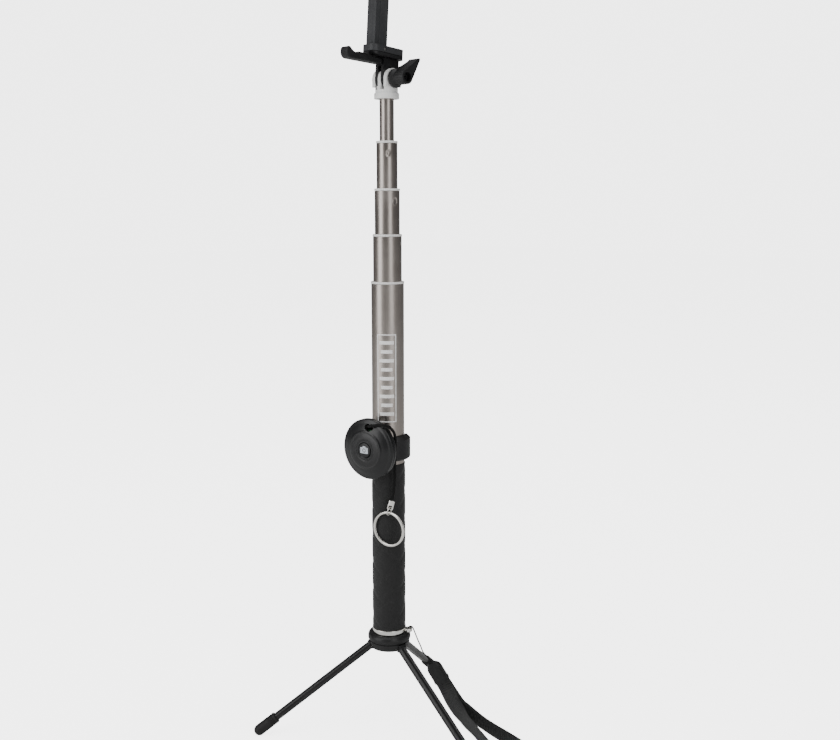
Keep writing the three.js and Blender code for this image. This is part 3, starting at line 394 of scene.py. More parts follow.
# a grid closed round its columns, with a face over its first row and its last
def cappedGrid(rows, columns):
    faces = gridFaces(rows, columns, False, True).tolist()
    return faces + [list(range(columns)), list(range((rows - 1) * columns, rows * columns))]


# welds close points, makes faces that lie flat together one, and turns every face outwards
def clean(mesh, weld=None, flatAngle=None):
    work = bmesh.new()
    work.from_mesh(mesh)
    if weld:
        bmesh.ops.remove_doubles(work, verts=work.verts, dist=weld)
    if flatAngle:
        bmesh.ops.dissolve_limit(work, angle_limit=radians(flatAngle), verts=work.verts, edges=work.edges)
    bmesh.ops.recalc_face_normals(work, faces=work.faces)
    work.to_mesh(mesh)
    work.free()


# a piece from its mesh: shaded smooth up to an angle, in its finish, on its body
def settle(name, mesh, body, node, material, sharp):
    mesh.materials.clear()
    mesh.materials.append(finishes[material])
    mesh.shade_smooth()
    mesh.set_sharp_from_angle(angle=radians(sharp))
    piece = newObject(name, mesh)
    if node:
        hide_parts(node)
    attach(piece, body)
    return piece


def spin(degrees, axis):
    return Matrix.Rotation(radians(degrees), 4, axis)


def moved(points, place):
    turn = np.array(place)
    return points @ turn[:3, :3].T + turn[:3, 3]


def addPiece(name, shape, body, node, material, place=None, sharp=meshSettings["sharp"], scale=mm):
    points, faces = shape
    points = np.asarray(points, float).reshape(-1, 3)
    if place is not None:
        points = moved(points, place)
    mesh = bpy.data.meshes.new(name)
    mesh.from_pydata((points * scale).tolist(), [], [list(f) for f in faces])
    clean(mesh, meshSettings["weld"])
    return settle(name, mesh, body, node, material, sharp)


# the four corners between two radii (or sides) and two heights
def rectangle(left, right, low, high):
    return [(left, low), (right, low), (right, high), (left, high)]


# each corner of an outline becomes a short parabola that touches both of its sides
def softened(outline, radius, steps=4):
    outline = np.asarray(outline, float)
    count = len(outline)
    result = []
    for k, corner in enumerate(outline):
        before = outline[k - 1] - corner
        after = outline[(k + 1) % count] - corner
        reach = min(radius, 0.45 * np.linalg.norm(before), 0.45 * np.linalg.norm(after))
        start = corner + before / np.linalg.norm(before) * reach
        end = corner + after / np.linalg.norm(after) * reach
        t = np.linspace(0, 1, steps + 1)[:, None]
        result.extend((1 - t) ** 2 * start + 2 * t * (1 - t) * corner + t**2 * end)
    return np.array(result)


# a profile of (radius, height) carried round Z, with an optional relief added to the radius
def turned(profile, sides=128, relief=None):
    profile = np.asarray(profile, float)
    angle = np.arange(sides) * 2 * pi / sides
    radius = np.repeat(profile[:, :1], sides, 1)
    height = np.repeat(profile[:, 1:2], sides, 1)
    if relief is not None:
        radius = radius + relief(angle[None, :], height, radius)
    points = np.stack([radius * np.cos(angle), radius * np.sin(angle), height], -1)
    closed = not (profile[0, 0] == 0 and profile[-1, 0] == 0)
    return points, gridFaces(len(profile), sides, closed, True)


# a section of (across, up) carried along a path; up stays as near the given direction as the path lets it
def carried(path, section, upright):
    path = np.asarray(path, float)
    forward = np.gradient(path, axis=0)
    forward /= np.linalg.norm(forward, axis=1, keepdims=True)
    upright = np.broadcast_to(upright, path.shape)
    up = upright - (upright * forward).sum(1, keepdims=True) * forward
    up /= np.linalg.norm(up, axis=1, keepdims=True)
    across = np.cross(forward, up)
    section = np.asarray(section, float)
    if section.ndim == 2:
        section = np.repeat(section[None], len(path), 0)
    points = path[:, None] + section[..., :1] * across[:, None] + section[..., 1:] * up[:, None]
    rows, columns = points.shape[:2]
    return points, cappedGrid(rows, columns)


# an outline of (x, y) lifted from one height to another
def lifted(outline, low, high):
    outline = np.asarray(outline, float)
    rings = [np.column_stack([outline, np.full(len(outline), z)]) for z in (low, high)]
    return np.concatenate(rings), cappedGrid(2, len(outline))


def roundSection(radius, sides=16):
    angle = np.arange(sides) * 2 * pi / sides
    return np.column_stack([radius * np.cos(angle), radius * np.sin(angle)])


# the smooth curve through a route's points: cubic pieces whose speed follows the square root of the spacing
def curveThrough(route, count, steps=40):
    p = np.asarray(route, float)
    p = np.vstack([2 * p[0] - p[1], p, 2 * p[-1] - p[-2]])
    fine = []
    t = np.linspace(0, 1, steps, endpoint=False)[:, None]
    for a, b, c, d in zip(p[:-3], p[1:-2], p[2:-1], p[3:]):
        before, here, after = (np.sqrt(np.linalg.norm(v)) for v in (b - a, c - b, d - c))
        start = ((b - a) / before - (c - a) / (before + here) + (c - b) / here) * here
        end = ((c - b) / here - (d - b) / (here + after) + (d - c) / after) * here
        fine.append((2 * t**3 - 3 * t**2 + 1) * b + (t**3 - 2 * t**2 + t) * start
                    + (3 * t**2 - 2 * t**3) * c + (t**3 - t**2) * end)
    fine = np.vstack(fine + [p[-2:-1]])
    walked = np.concatenate([[0], np.cumsum(np.linalg.norm(np.diff(fine, axis=0), axis=1))])
    stops = np.linspace(0, walked[-1], count)
    return np.column_stack([np.interp(stops, walked, fine[:, k]) for k in range(3)]), walked[-1]


# a piece of the frame with its flat faces made whole, its edges broken and its round faces shaded smooth
def dressed(node, body, material, edge=0.25, steps=2, sharp=meshSettings["sharp"]):
    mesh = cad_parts[node].data.copy()
    mesh.name = node + "Dressed"
    clean(mesh, meshSettings["frameWeld"], meshSettings["flatAngle"])
    piece = settle(mesh.name, mesh, body, node, material, sharp)
    if edge:
        bevel = piece.modifiers.new("edges", "BEVEL")
        bevel.width = edge * mm
        bevel.segments = steps
        bevel.limit_method = "ANGLE"
        bevel.angle_limit = radians(sharp)
        bevel.harden_normals = True
        bevel.use_clamp_overlap = True
    return piece


def facing(azimuth):
    return np.array([sin(radians(azimuth)), -cos(radians(azimuth)), 0.0])  # from -Y towards +X


tiltHeight, clampLean = 510.0, 4.0
remoteAzimuth, remoteHeight = 10.0, 234.5
clampPlace = Matrix.Translation((0, 0, tiltHeight)) @ spin(-clampLean, "X")
remotePlace = Matrix.Translation((0, 0, remoteHeight)) @ spin(remoteAzimuth, "Z")
facePlace = remotePlace @ spin(90, "X")  # a piece turned about Z then faces -Y

# stick
stickSettings = {
    "sides": 192, "wall": 0.8,
    # outside radius, bottom, top, dimple bearing (None where there is none)
    "tubes": {
        "main_tube": (12.5, 80.3, 359.1, None),
        "slide_tube_1": (10.9, None, 394.7, 116),
        "slide_tube_2": (9.45, None, 428.7, 87),
        "slide_tube_3": (7.85, None, 463.6, 53),
        "slide_tube_4": (5.35, None, 500.4, None),
    },
    "mouth": 0.15,
    "collar": {"tall": 1.8, "proud": 0.25, "depth": 8, "seat": 0.15, "gap": 0.12, "soft": 0.45},
    "dimple": {"below": 7.4, "wide": 1.75, "tall": 2.6, "deep": 0.5, "rim": 0.10, "reach": 4, "step": 0.2},
}
tubeBodies = ["stick", "section_1", "section_2", "section_3", "section_4"]


# an oval dent on both sides of the tube: its floor rises with the squared distance from its middle,
# and a bell of the same distance raises its rim
def dimpleRelief(bearing, centre):
    dent = stickSettings["dimple"]

    def relief(angle, height, radius):
        total = 0
        for side in (bearing - 90, bearing + 90):
            swing = (angle - radians(side) + pi) % (2 * pi) - pi
            far = (swing * radius / dent["wide"]) ** 2 + ((height - centre) / dent["tall"]) ** 2
            total = total - dent["deep"] * np.clip(1.15 - far, 0, 0.8)
            total = total + dent["rim"] * np.exp(-((far - 1.25) / 0.3) ** 2)
        return total

    return relief


def makeTubes():
    for (node, (radius, bottom, top, bearing)), body in zip(stickSettings["tubes"].items(), tubeBodies):
        if bottom is None:
            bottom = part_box(node)[0][2] / mm
        inner = radius - stickSettings["wall"]
        dent = stickSettings["dimple"]
        relief = None
        heights = [bottom, top]
        if bearing is not None:
            centre = top - dent["below"]
            relief = dimpleRelief(bearing, centre)
            heights = [bottom, *np.arange(centre - dent["reach"], centre + dent["reach"], dent["step"]), top]
        outside = np.column_stack([np.full(len(heights), radius), heights])
        mouth = [(radius - stickSettings["mouth"], top), (inner, top), (inner, bottom)]
        profile = np.vstack([outside, mouth])
        points, faces = turned(profile, stickSettings["sides"])
        if relief is not None:
            outer = points[: len(heights)]  # the inside stays plain
            angle = np.arctan2(outer[..., 1], outer[..., 0])
            grow = 1 + relief(angle, outer[..., 2], radius) / radius
            outer[..., :2] *= grow[..., None]
        addPiece(node + "Shell", (points, faces), body, node, "satinTube")


# each collar is a lip on the tube's end over a skirt inside it
def makeCollars():
    rows = list(stickSettings["tubes"].values())
    c = stickSettings["collar"]
    for k, ((radius, _, top, _), (nextRadius, *_)) in enumerate(zip(rows[:-1], rows[1:])):
        inner, outer = nextRadius + c["gap"], radius + c["proud"]
        foot, seat, lip = top - c["depth"], top + c["seat"], top + c["tall"]
        skirt = radius - stickSettings["wall"] - 0.15
        outline = [(inner, foot), (skirt, foot), (skirt, seat), (outer, seat), (outer, lip), (inner, lip)]
        shape = turned(softened(outline, c["soft"]), stickSettings["sides"])
        addPiece(f"endCollar{k + 1}", shape, tubeBodies[k], f"end_collar_{k + 1}", "paleCollar")


markSettings = {
    "bearing": 42, "low": 253.5, "high": 321.5, "halfWidth": 7.6, "line": 0.8, "proud": 0.04,
    "columns": 12, "bars": 9, "margin": 3, "barHalf": 1.3,
    "barInset": (1.9, 3.1),  # by turns
}


# a thin patch on the main tube between two arcs and two heights: a grid wrapped on the cylinder, with a back
def tubePatch(arcLow, arcHigh, low, high, radius, proud):
    columns = markSettings["columns"]
    angle = radians(markSettings["bearing"] - 90) + np.linspace(arcLow, arcHigh, columns) / radius
    layers = []
    for r in (radius + 0.005, radius + proud):
        x, y = r * np.cos(angle), r * np.sin(angle)
        layers += [np.column_stack([x, y, np.full(columns, z)]) for z in (low, high)]
    ring = np.array([layers[0], layers[1], layers[3], layers[2]])
    faces = gridFaces(4, columns, True, False).tolist()
    faces += [[k * columns for k in range(4)], [k * columns + columns - 1 for k in range(4)]]
    return ring.reshape(-1, 3), faces


# a plain printed panel: a frame round a ladder of bars of varied length
def makePrintedMark():
    s = markSettings
    radius = stickSettings["tubes"]["main_tube"][0]
    w, t = s["halfWidth"], s["line"]
    patches = [(-w, w, s["low"], s["low"] + t), (-w, w, s["high"] - t, s["high"]),
               (-w, -w + t, s["low"] + t, s["high"] - t), (w - t, w, s["low"] + t, s["high"] - t)]
    step = (s["high"] - s["low"] - 2 * s["margin"]) / s["bars"]
    for k in range(s["bars"]):
        z = s["low"] + s["margin"] + (k + 0.5) * step
        reach = w - s["barInset"][k % 2]
        patches.append((-reach, reach, z - s["barHalf"], z + s["barHalf"]))
    points, faces, count = [], [], 0
    for patch in patches:
        p, f = tubePatch(*patch, radius, s["proud"])
        points.append(p)
        faces += [[v + count for v in face] for face in f]
        count += len(p)
    addPiece("printedPanel", (np.vstack(points), faces), "stick", None, "printWhite")


gripSettings = {
    "low": 84.2, "high": 219.5, "radius": 13.2, "inner": 12.65, "step": 0.6, "sides": 256,
    "chamfer": [(0.4, 0), (0.08, 0.25)],  # inwards, from the end
    "rise": 22.5, "turns": 3, "groove": 0.34, "width": 0.16, "crossing": 84.0, "level": 140.0, "fade": 2.5,
}


# two families of shallow helical grooves that cross in rhombs; depth falls off as a bell beside each groove
def gripRelief(angle, height, radius):
    s = gripSettings
    turn = (angle - radians(s["crossing"] - 90)) * s["turns"] / (2 * pi)
    climb = (height - s["level"]) / s["rise"]
    depth = 0
    for direction in (1, -1):
        phase = turn + direction * climb
        away = np.abs(phase - np.round(phase))
        depth = depth - s["groove"] * np.exp(-((away / s["width"]) ** 2) * 3)
    fade = np.clip((height - s["low"]) / s["fade"], 0, 1) * np.clip((s["high"] - height) / s["fade"], 0, 1)
    return np.maximum(depth, -s["groove"]) * fade


def makeGrip():
    s = gripSettings
    heights = np.arange(s["low"] + 0.7, s["high"] - s["step"], s["step"])
    outside = np.column_stack([np.full(len(heights), s["radius"]), heights])
    low = [(s["radius"] - inwards, s["low"] + up) for inwards, up in s["chamfer"]]
    high = [(s["radius"] - inwards, s["high"] - down) for inwards, down in s["chamfer"][::-1]]
    profile = np.vstack([[(s["inner"], s["low"])], low, outside, high, [(s["inner"], s["high"])]])

    def relief(angle, height, radius):
        return np.where(radius > s["inner"] + 0.2, gripRelief(angle, height, radius), 0)

    shape = turned(profile, s["sides"], relief)
    addPiece("gripSleeve", shape, "stick", "grip_sleeve", "gripRubber")


makeTubes()
makeCollars()
makePrintedMark()
makeGrip()
dressed("bottom_plug", "stick", "blackPlastic")
for index in range(1, 5):
    dressed(f"slide_bush_{index}", tubeBodies[index], "blackPlastic")
print("stick made")

# tripod and strap ring
hubSettings = {
    "radius": 17.05, "lower": 16.3, "bore": 3.4, "top": 80.0, "split": 73.4, "ledge": 1.1,
    "shoulder": [(0, 3.0), (0.5, 1.4), (1.5, 0.35), (2.7, 0)],  # inwards, down from the top
}
strapRingSettings = {
    "band": (12.65, 13.4, 80.3, 83.9),  # two radii, two heights
    "eye": (1.65, 3.1, 80.7, 83.5),
    "bearing": 120, "distance": 15.9,
}
legSettings = {
    "azimuths": [-34, 86, 206],
    "bodies": ["leg_a", "leg_b", "leg_c"],
    "hingeRadius": 14.2, "hingeHeight": 69.6, "slope": 35.6, "radius": 3.3, "flat": 2.5,
    "groove": {"deep": 0.55, "half": 1.25, "side": 0.8},
    "taper": [1, 1, 1, 1, 0.98, 0.7],
    "knuckle": (1.3, 3.3, -3.0, 3.0),  # two radii, two sides
    "footRadius": 4.4, "footLength": 17.0, "footInset": 6.1,
    "ribs": {"count": 3, "first": 2.4, "pitch": 1.5, "radius": 4.05},
}


def makeHub():
    s = hubSettings
    ledge = s["split"] + s["ledge"]
    shoulder = [(s["radius"] - inwards, s["top"] - down) for inwards, down in s["shoulder"]]
    profile = [(s["bore"], s["split"]), (s["lower"], s["split"]), (s["lower"], ledge), (s["radius"], ledge),
               *shoulder, (s["bore"], s["top"])]
    shape = turned(softened(profile, 0.5), 192)
    addPiece("hubTop", shape, "tripod", "hub_upper_shell", "hubPlastic")
    dressed("hub_lower_shell", "tripod", "hubPlastic", edge=0.35)
    dressed("tripod_stud", "tripod", "zincSteel", edge=0.2)
    ring = strapRingSettings
    shape = turned(softened(rectangle(*ring["band"]), 0.36), 192)
    addPiece("strapRingBand", shape, "tripod", "strap_ring", "chrome")
    shape = turned(softened(rectangle(*ring["eye"]), 0.5), 64)
    lug = Matrix.Translation(tuple(facing(ring["bearing"]) * ring["distance"]))
    addPiece("strapRingEye", shape, "tripod", "strap_ring", "chrome", lug)


# a leg's section: a circle with two milled flats, the upper one with a groove along its middle
def legSection():
    s = legSettings
    angle = np.linspace(0, 2 * pi, 72, endpoint=False)
    across, up = s["radius"] * np.cos(angle), np.clip(s["radius"] * np.sin(angle), -s["flat"], s["flat"])
    g = s["groove"]
    depth = g["deep"] * np.clip(g["half"] - np.abs(across), 0, g["side"]) / g["side"]
    return np.column_stack([across, up - np.where(up > s["flat"] - 0.01, depth, 0)])


def makeLegs():
    s = legSettings
    length = (s["hingeHeight"] - s["footRadius"]) / sin(radians(s["slope"]))
    footStart = length - s["footLength"]
    for k, (azimuth, body) in enumerate(zip(s["azimuths"], s["bodies"])):
        turn = Matrix.Translation((0, 0, s["hingeHeight"])) @ spin(azimuth - 90, "Z")
        hinge = turn @ Matrix.Translation((s["hingeRadius"], 0, 0)) @ spin(s["slope"], "Y")
        stops = np.array([1.5, 4, 10, footStart - 3, footStart - 0.5, length - s["footInset"]])
        sizes = np.array(s["taper"])[:, None, None]
        path = np.column_stack([stops, 0 * stops, 0 * stops])
        shape = carried(path, legSection()[None] * sizes, (0, 0, 1))
        addPiece(f"legRod{k + 1}", shape, body, f"leg_{k + 1}", "legPaint", hinge)
        shape = turned(softened(rectangle(*s["knuckle"]), 0.35), 64)
        addPiece(f"legKnuckle{k + 1}", shape, body, f"leg_{k + 1}", "legPaint",
                 hinge @ spin(90, "X"))
        r, ribs = s["footRadius"], s["ribs"]
        dome = [(r * cos(a), length + r * sin(a)) for a in np.linspace(0, pi / 2, 14)]
        dome[-1] = (0, length + r)
        rings = []
        for rib in range(ribs["count"]):
            z = footStart + ribs["first"] + ribs["pitch"] * rib
            rings += [(r, z), (ribs["radius"], z + 0.25), (ribs["radius"], z + 0.65), (r, z + 0.9)]
        cuff = [(0, footStart + 0.3), (3.75, footStart + 0.3), (4.3, footStart + 0.7), (r, footStart + 1.6)]
        shape = turned([*cuff, *rings, (r, footStart + 7.5), *dome], 72)
        addPiece(f"legFoot{k + 1}", shape, body, f"leg_foot_{k + 1}", "footRubber",
                 hinge @ spin(90, "Y"), sharp=50)
        dressed(f"leg_pin_{k + 1}", "tripod", "zincSteel", edge=0.15)


makeHub()
makeLegs()
print("tripod made")

# head and clamp
flangeSettings = {"inner": 5.6, "outer": 9.3, "low": 495.95, "high": 500.0}


def makeHead():
    shape = turned(softened(rectangle(*flangeSettings.values()), 0.5), 160)
    addPiece("clevisFlange", shape, "section_4", "clevis_head", "whiteHead")
    dressed("clevis_head", "section_4", "whiteHead", edge=0.4, steps=3)
    dressed("hex_nut", "section_4", "zincSteel", edge=0.3)
    dressed("thumb_knob", "thumb_screw", "blackPlastic", edge=0.8, steps=4, sharp=32)
    dressed("thumb_bolt", "thumb_screw", "darkSteel", edge=0.25)
    dressed("head_adapter", "clamp", "blackPlastic", edge=0.4, steps=3)
    dressed("adapter_screw", "clamp", "zincSteel", edge=0.15)


# node: body, finish, edge, steps
clampRows = {
    "base_bottom_shell": ("clamp", "blackPlastic", 0.7, 4),
    "base_top_shell": ("clamp", "greyPlastic", 0.9, 4),
    "cross_pin": ("clamp", "zincSteel", 0.2),
    "lower_jaw": ("clamp", "blackPlastic", 1.0, 4),
    "lower_jaw_pad": ("clamp", "padRubber", 0.3),
    "upper_jaw": ("sliding_jaw", "blackPlastic", 1.0, 4),
    "upper_jaw_pad": ("sliding_jaw", "padRubber", 0.3),
    "jaw_slider": ("sliding_jaw", "greyPlastic", 0.3),
    "spring_pin": ("sliding_jaw", "zincSteel", 0.1),
}


def makeClamp():
    for node, row in clampRows.items():
        dressed(node, *row)


spineSettings = {
    "half": 4.6, "front": -17.6, "low": 22.4, "top": 68.0, "margin": 0.75, "step": 0.14, "ribs": 0.95,
    "ribDepth": 0.14, "columns": 1.2,
}


# the front face's fine ribs: a cosine up the spine times one across it, fading out at its edges
def makeSpine():
    s = spineSettings
    dressed("spine_shell", "clamp", "greyPlastic", edge=0.3, steps=3)
    across = np.linspace(-s["half"] + s["margin"], s["half"] - s["margin"], 25)
    up = np.arange(s["low"] + 0.5, s["top"] - 0.5, s["step"])
    wave = 0.5 + 0.5 * np.cos(2 * pi * up / s["ribs"])
    columns = 0.5 + 0.5 * np.cos(2 * pi * across / s["columns"])
    edge = np.clip((across[-1] - np.abs(across)) / 0.3, 0, 1)
    height = -s["front"] + 0.02 + s["ribDepth"] * wave[:, None] * (0.45 + 0.55 * columns[None]) * edge[None]
    face = np.stack(np.broadcast_arrays(across, -height, up[:, None]), -1)
    back = face.copy()
    back[..., 1] = s["front"] + 0.15
    closed = np.concatenate([back[:, :1], face, back[:, -1:]], 1)  # front with its two sides
    shape = closed, cappedGrid(*closed.shape[:2])
    addPiece("spineRibs", shape, "clamp", None, "greyPlastic", clampPlace, sharp=60)


springSettings = {"place": -8.85, "radius": 1.6, "wire": 0.28, "turns": 15, "low": 23.5, "high": 34.9}


# a round wire on a helix
def makeSpring():
    s = springSettings
    t = np.linspace(0, 1, s["turns"] * 24)
    swing = 2 * pi * s["turns"] * t
    climb = s["low"] + (s["high"] - s["low"]) * t
    path = np.column_stack([s["radius"] * np.cos(swing), s["place"] + s["radius"] * np.sin(swing), climb])
    shape = carried(path, roundSection(s["wire"], 8), (0, 0, 1))
    addPiece("jawSpring", shape, "clamp", "jaw_spring", "zincSteel", clampPlace)


makeHead()
makeClamp()
makeSpine()
makeSpring()
print("head and clamp made")

# remote shutter
remoteSettings = {
    "radius": 23.5, "back": 18.7, "seam": 23.4, "rim": 25.6, "front": 30.4, "wall": 7.0, "gap": 0.15,
    "button": 5.7, "buttonGap": 0.2,
    "shoulder": [(0, 0), (0.45, 0.75), (1.5, 1.3), (2.6, 1.55)],  # inwards, up from the rim
    "dome": {"sink": 0.1, "fall": 3.05, "from": 8, "ridge": 14.2, "ridgeTall": 0.3, "ridgeWide": 0.7},
    "groove": [(8.2, 0.12), (7.9, 0.3), (7.5, 0.3), (7.2, 0.05)],  # radius, down from the front
    "heel": [(4.2, 0), (3.2, 0.15), (2.0, 0.7), (1.0, 1.5), (0.3, 2.5), (0, 3.4)],  # inwards, up
    "crown": [(0, -0.05), (0.25, 0.3), (0.8, 0.45)],  # inwards, up from the front
    "skirt": {"radius": 6.6, "low": 26.9, "down": 2.5},
}
heartSettings = {"x": 2.9, "z": 17.8, "lobe": 2.5, "apart": 3.1, "drop": 3.4, "cut": (5, 40)}


# the heart-shaped cord hole's outline: two arcs and a point
def heartOutline():
    s = heartSettings
    half = s["apart"] / 2
    meet = np.sqrt(s["lobe"] ** 2 - half**2)
    left = np.linspace(np.arctan2(meet, half), 1.25 * pi, 20)
    right = np.linspace(-0.25 * pi, pi - np.arctan2(meet, half), 20)
    outline = [(-half + s["lobe"] * cos(a), s["lobe"] * sin(a)) for a in left]
    outline += [(0, -s["drop"])] + [(half + s["lobe"] * cos(a), s["lobe"] * sin(a)) for a in right]
    return np.array(outline[:-1]) + (s["x"], s["z"])


# cuts the cord hole through a cover
def cutHeart(piece):
    points, faces = lifted(heartOutline(), *heartSettings["cut"])
    mesh = bpy.data.meshes.new("heartCutter")
    mesh.from_pydata((moved(points, facePlace) * mm).tolist(), [], faces)
    clean(mesh)
    cutter = newObject("heartCutter", mesh)
    cut = piece.modifiers.new("cordHole", "BOOLEAN")
    cut.operation = "DIFFERENCE"
    cut.solver = "EXACT"
    cut.object = cutter
    bpy.context.view_layer.update()
    evaluated = piece.evaluated_get(bpy.context.evaluated_depsgraph_get())
    result = bpy.data.meshes.new_from_object(evaluated)
    piece.modifiers.clear()
    piece.data = result
    bpy.data.objects.remove(cutter)


def makeRemote():
    s = remoteSettings
    r, front, back, seam, gap = s["radius"], s["front"], s["back"], s["seam"], s["gap"]
    button, wall = s["button"] + s["buttonGap"], r - s["wall"]
    shoulder = [(r - inwards, s["rim"] + up) for inwards, up in s["shoulder"]]
    # falls off as the square of the distance from the button's ring, with one rounded ridge part way out
    d = s["dome"]
    out = np.linspace(r - 3.0, 8.6, 44)
    fall = d["fall"] * ((out - d["from"]) / (r - 11)) ** 2
    ridge = d["ridgeTall"] * np.exp(-(((out - d["ridge"]) / d["ridgeWide"]) ** 2))
    dome = list(zip(out, front - d["sink"] - fall + ridge))
    ring = [(radius, front - down) for radius, down in s["groove"]]
    ring += [(button + 0.5, front), (button, front - 0.3), (button, front - 2.2)]
    inside = [(r - 11.5, front - 2.2), (wall, s["rim"] + 0.6), (wall, seam + gap)]
    frontOutline = [(r - 0.25, seam + gap), (r, seam + 0.4), *shoulder, *dome, *ring, *inside]
    heel = [(r - inwards, back + up) for inwards, up in s["heel"]]
    rearOutline = [(0, back), *heel, (r, seam - 0.4), (r - 0.25, seam - gap), (wall, seam - gap),
                   (wall, back + 1.4), (0, back + 1.4)]
    for name, node, outline in (("remoteFront", "remote_front_cover", frontOutline),
                                ("remoteRear", "remote_rear_cover", rearOutline)):
        shape = turned(outline, 192)
        cutHeart(addPiece(name, shape, "remote", node, "glossBlack", facePlace, sharp=30))
    makeRailFoot()
    k = s["skirt"]
    ledge = front - k["down"]
    disc = [(0, k["low"]), (k["radius"], k["low"]), (k["radius"], ledge), (s["button"], ledge)]
    crown = [(s["button"] - inwards, front + up) for inwards, up in s["crown"]]
    shape = turned(disc + crown + [(0, front + 0.5)], 96)
    addPiece("shutterButton", shape, "button", "shutter_button", "buttonBlack", facePlace)
    dressed("coin_cell", "remote", "zincSteel", edge=0.15)
    dressed("circuit_board", "remote", "circuitGreen", edge=0.15)
    dressed("dome_switch", "remote", "zincSteel", edge=0.15)


railSettings = {
    "neck": (-4, 4, -19.0, -16.2),  # two sides, back and front
    "head": (-6.5, 6.5, -16.4, -14.9),
    "low": -5.0, "high": 6.6,
}


# the T-shaped rail foot that holds the remote in the clip: a neck and a wider head
def makeRailFoot():
    s = railSettings
    for name, sides in (("railNeck", s["neck"]), ("railHead", s["head"])):
        shape = lifted(softened(rectangle(*sides), 0.3), s["low"], s["high"])
        addPiece(name, shape, "remote", "remote_rear_cover", "glossBlack", remotePlace)


iconSettings = {
    "lift": 0.46, "half": 3.55, "tall": 2.35, "thick": 0.05,
    "hump": [(1.5, 0), (1.0, 0.95)],
    "lens": 1.5, "lensLine": 0.42, "lamp": 0.3,
    "lampPlace": (2.5, 1.55, 0),
    "marks": (0.03, 0.075),
}


# a plain camera sign on the button: a rounded body with a hump, a lens ring and a lamp
def makeIcon():
    s = iconSettings
    base = remoteSettings["front"] + s["lift"]
    low, high = (base + z for z in s["marks"])
    right = [(x, s["tall"] + up) for x, up in s["hump"]]
    left = [(-x, z) for x, z in right[::-1]]
    body = [(-s["half"], -s["tall"]), (s["half"], -s["tall"]), (s["half"], s["tall"]), *right, *left,
            (-s["half"], s["tall"])]
    shape = lifted(softened(body, 0.45), base, base + s["thick"])
    addPiece("cameraSign", shape, "button", None, "iconPale", facePlace)
    shape = turned(rectangle(s["lens"] - s["lensLine"], s["lens"], low, high), 48)
    addPiece("cameraSignLens", shape, "button", None, "buttonBlack", facePlace)
    points, faces = turned(rectangle(0, s["lamp"], low, high), 24)
    lamp = points + np.array(s["lampPlace"]), faces
    addPiece("cameraSignLamp", lamp, "button", None, "buttonBlack", facePlace)


makeRemote()
makeIcon()
dressed("holder_clip", "holder", "blackPlastic", edge=0.35, steps=3, sharp=30)
print("remote made")

# lanyard
lanyardSettings = {
    "diameter": 0.0022, "strands": 4, "pitch": 0.0034, "count": 420,
    "route": [
        (0.0069, -0.0227, 0.2523), (0.0074, -0.0266, 0.2526), (0.0096, -0.0282, 0.2535),
        (0.0139, -0.0274, 0.2547), (0.0186, -0.0245, 0.2553), (0.0217, -0.0199, 0.2538),
        (0.0220, -0.0152, 0.2490), (0.0206, -0.0122, 0.2430), (0.0188, -0.0104, 0.2360),
        (0.0176, -0.0095, 0.2290), (0.0170, -0.0093, 0.2220), (0.0169, -0.0092, 0.2140),
        (0.0163, -0.0095, 0.2040), (0.01459, -0.00995, 0.19345),
    ],
}
ringSettings = {
    "radius": 13.1,
    "place": (12.69, -11.85, 170.0),
    "azimuth": 14, "wide": 0.9, "thick": 0.42, "pitch": 0.9, "turns": 2, "steepness": 1.15,
}


# a braided cord: a round section whose radius swells where two families of strands cross
def braided(path, radius, strands, pitch, sides=24, depth=0.07):
    walked = np.concatenate([[0], np.cumsum(np.linalg.norm(np.diff(path, axis=0), axis=1))])
    angle = np.arange(sides) * 2 * pi / sides
    weave = np.cos(strands * angle[None] + 2 * pi * walked[:, None] / pitch)
    weave = np.maximum(weave, np.cos(strands * angle[None] - 2 * pi * walked[:, None] / pitch))
    r = radius * (1 - depth + depth * weave)
    return np.stack([r * np.cos(angle), r * np.sin(angle)], -1)


def makeLanyard():
    s = lanyardSettings
    path, length = curveThrough(s["route"], s["count"])
    section = braided(path, s["diameter"] / 2, s["strands"], s["pitch"])
    shape = carried(path, section, (0.3, 0.2, 1))
    cord = addPiece("lanyardCord", shape, "remote", "lanyard_cord", "cordBlack", scale=1)
    crimp = dressed("lanyard_crimp", "remote", "chrome", edge=0.3, steps=3)
    link = dressed("lanyard_link", "remote", "ringSteel", edge=0, sharp=60)
    ring = makeKeyRing()


# a superellipse of unit size: sine and cosine raised to a power below one, each with its own sign
def boxyRound(sides, power):
    angle = np.arange(sides) * 2 * pi / sides
    return [np.sign(f(angle)) * np.abs(f(angle)) ** power for f in (np.cos, np.sin)]


# a split ring: a flat rounded wire carried twice round a circle, stepping aside by its own width half way
def makeKeyRing():
    s = ringSettings
    t = np.linspace(0, 1, 260)
    swing = 2 * pi * s["turns"] * t + pi / 2
    shift = s["pitch"] * (np.clip(s["steepness"] * (2 * t - 1) * 4 + 0.5, 0, 1) - 0.5)
    path = np.column_stack([s["radius"] * np.cos(swing), shift, s["radius"] * np.sin(swing)])
    across, up = boxyRound(16, 0.6)
    flat = np.column_stack([across * s["thick"], up * s["wide"]])
    outward = path * (1, 0, 1)
    shape = carried(path, flat, outward / np.linalg.norm(outward, axis=1, keepdims=True))
    place = Matrix.Translation(s["place"]) @ spin(s["azimuth"], "Z")
    return addPiece("keyRing", shape, "ring", "key_ring", "ringSteel", place, sharp=60)


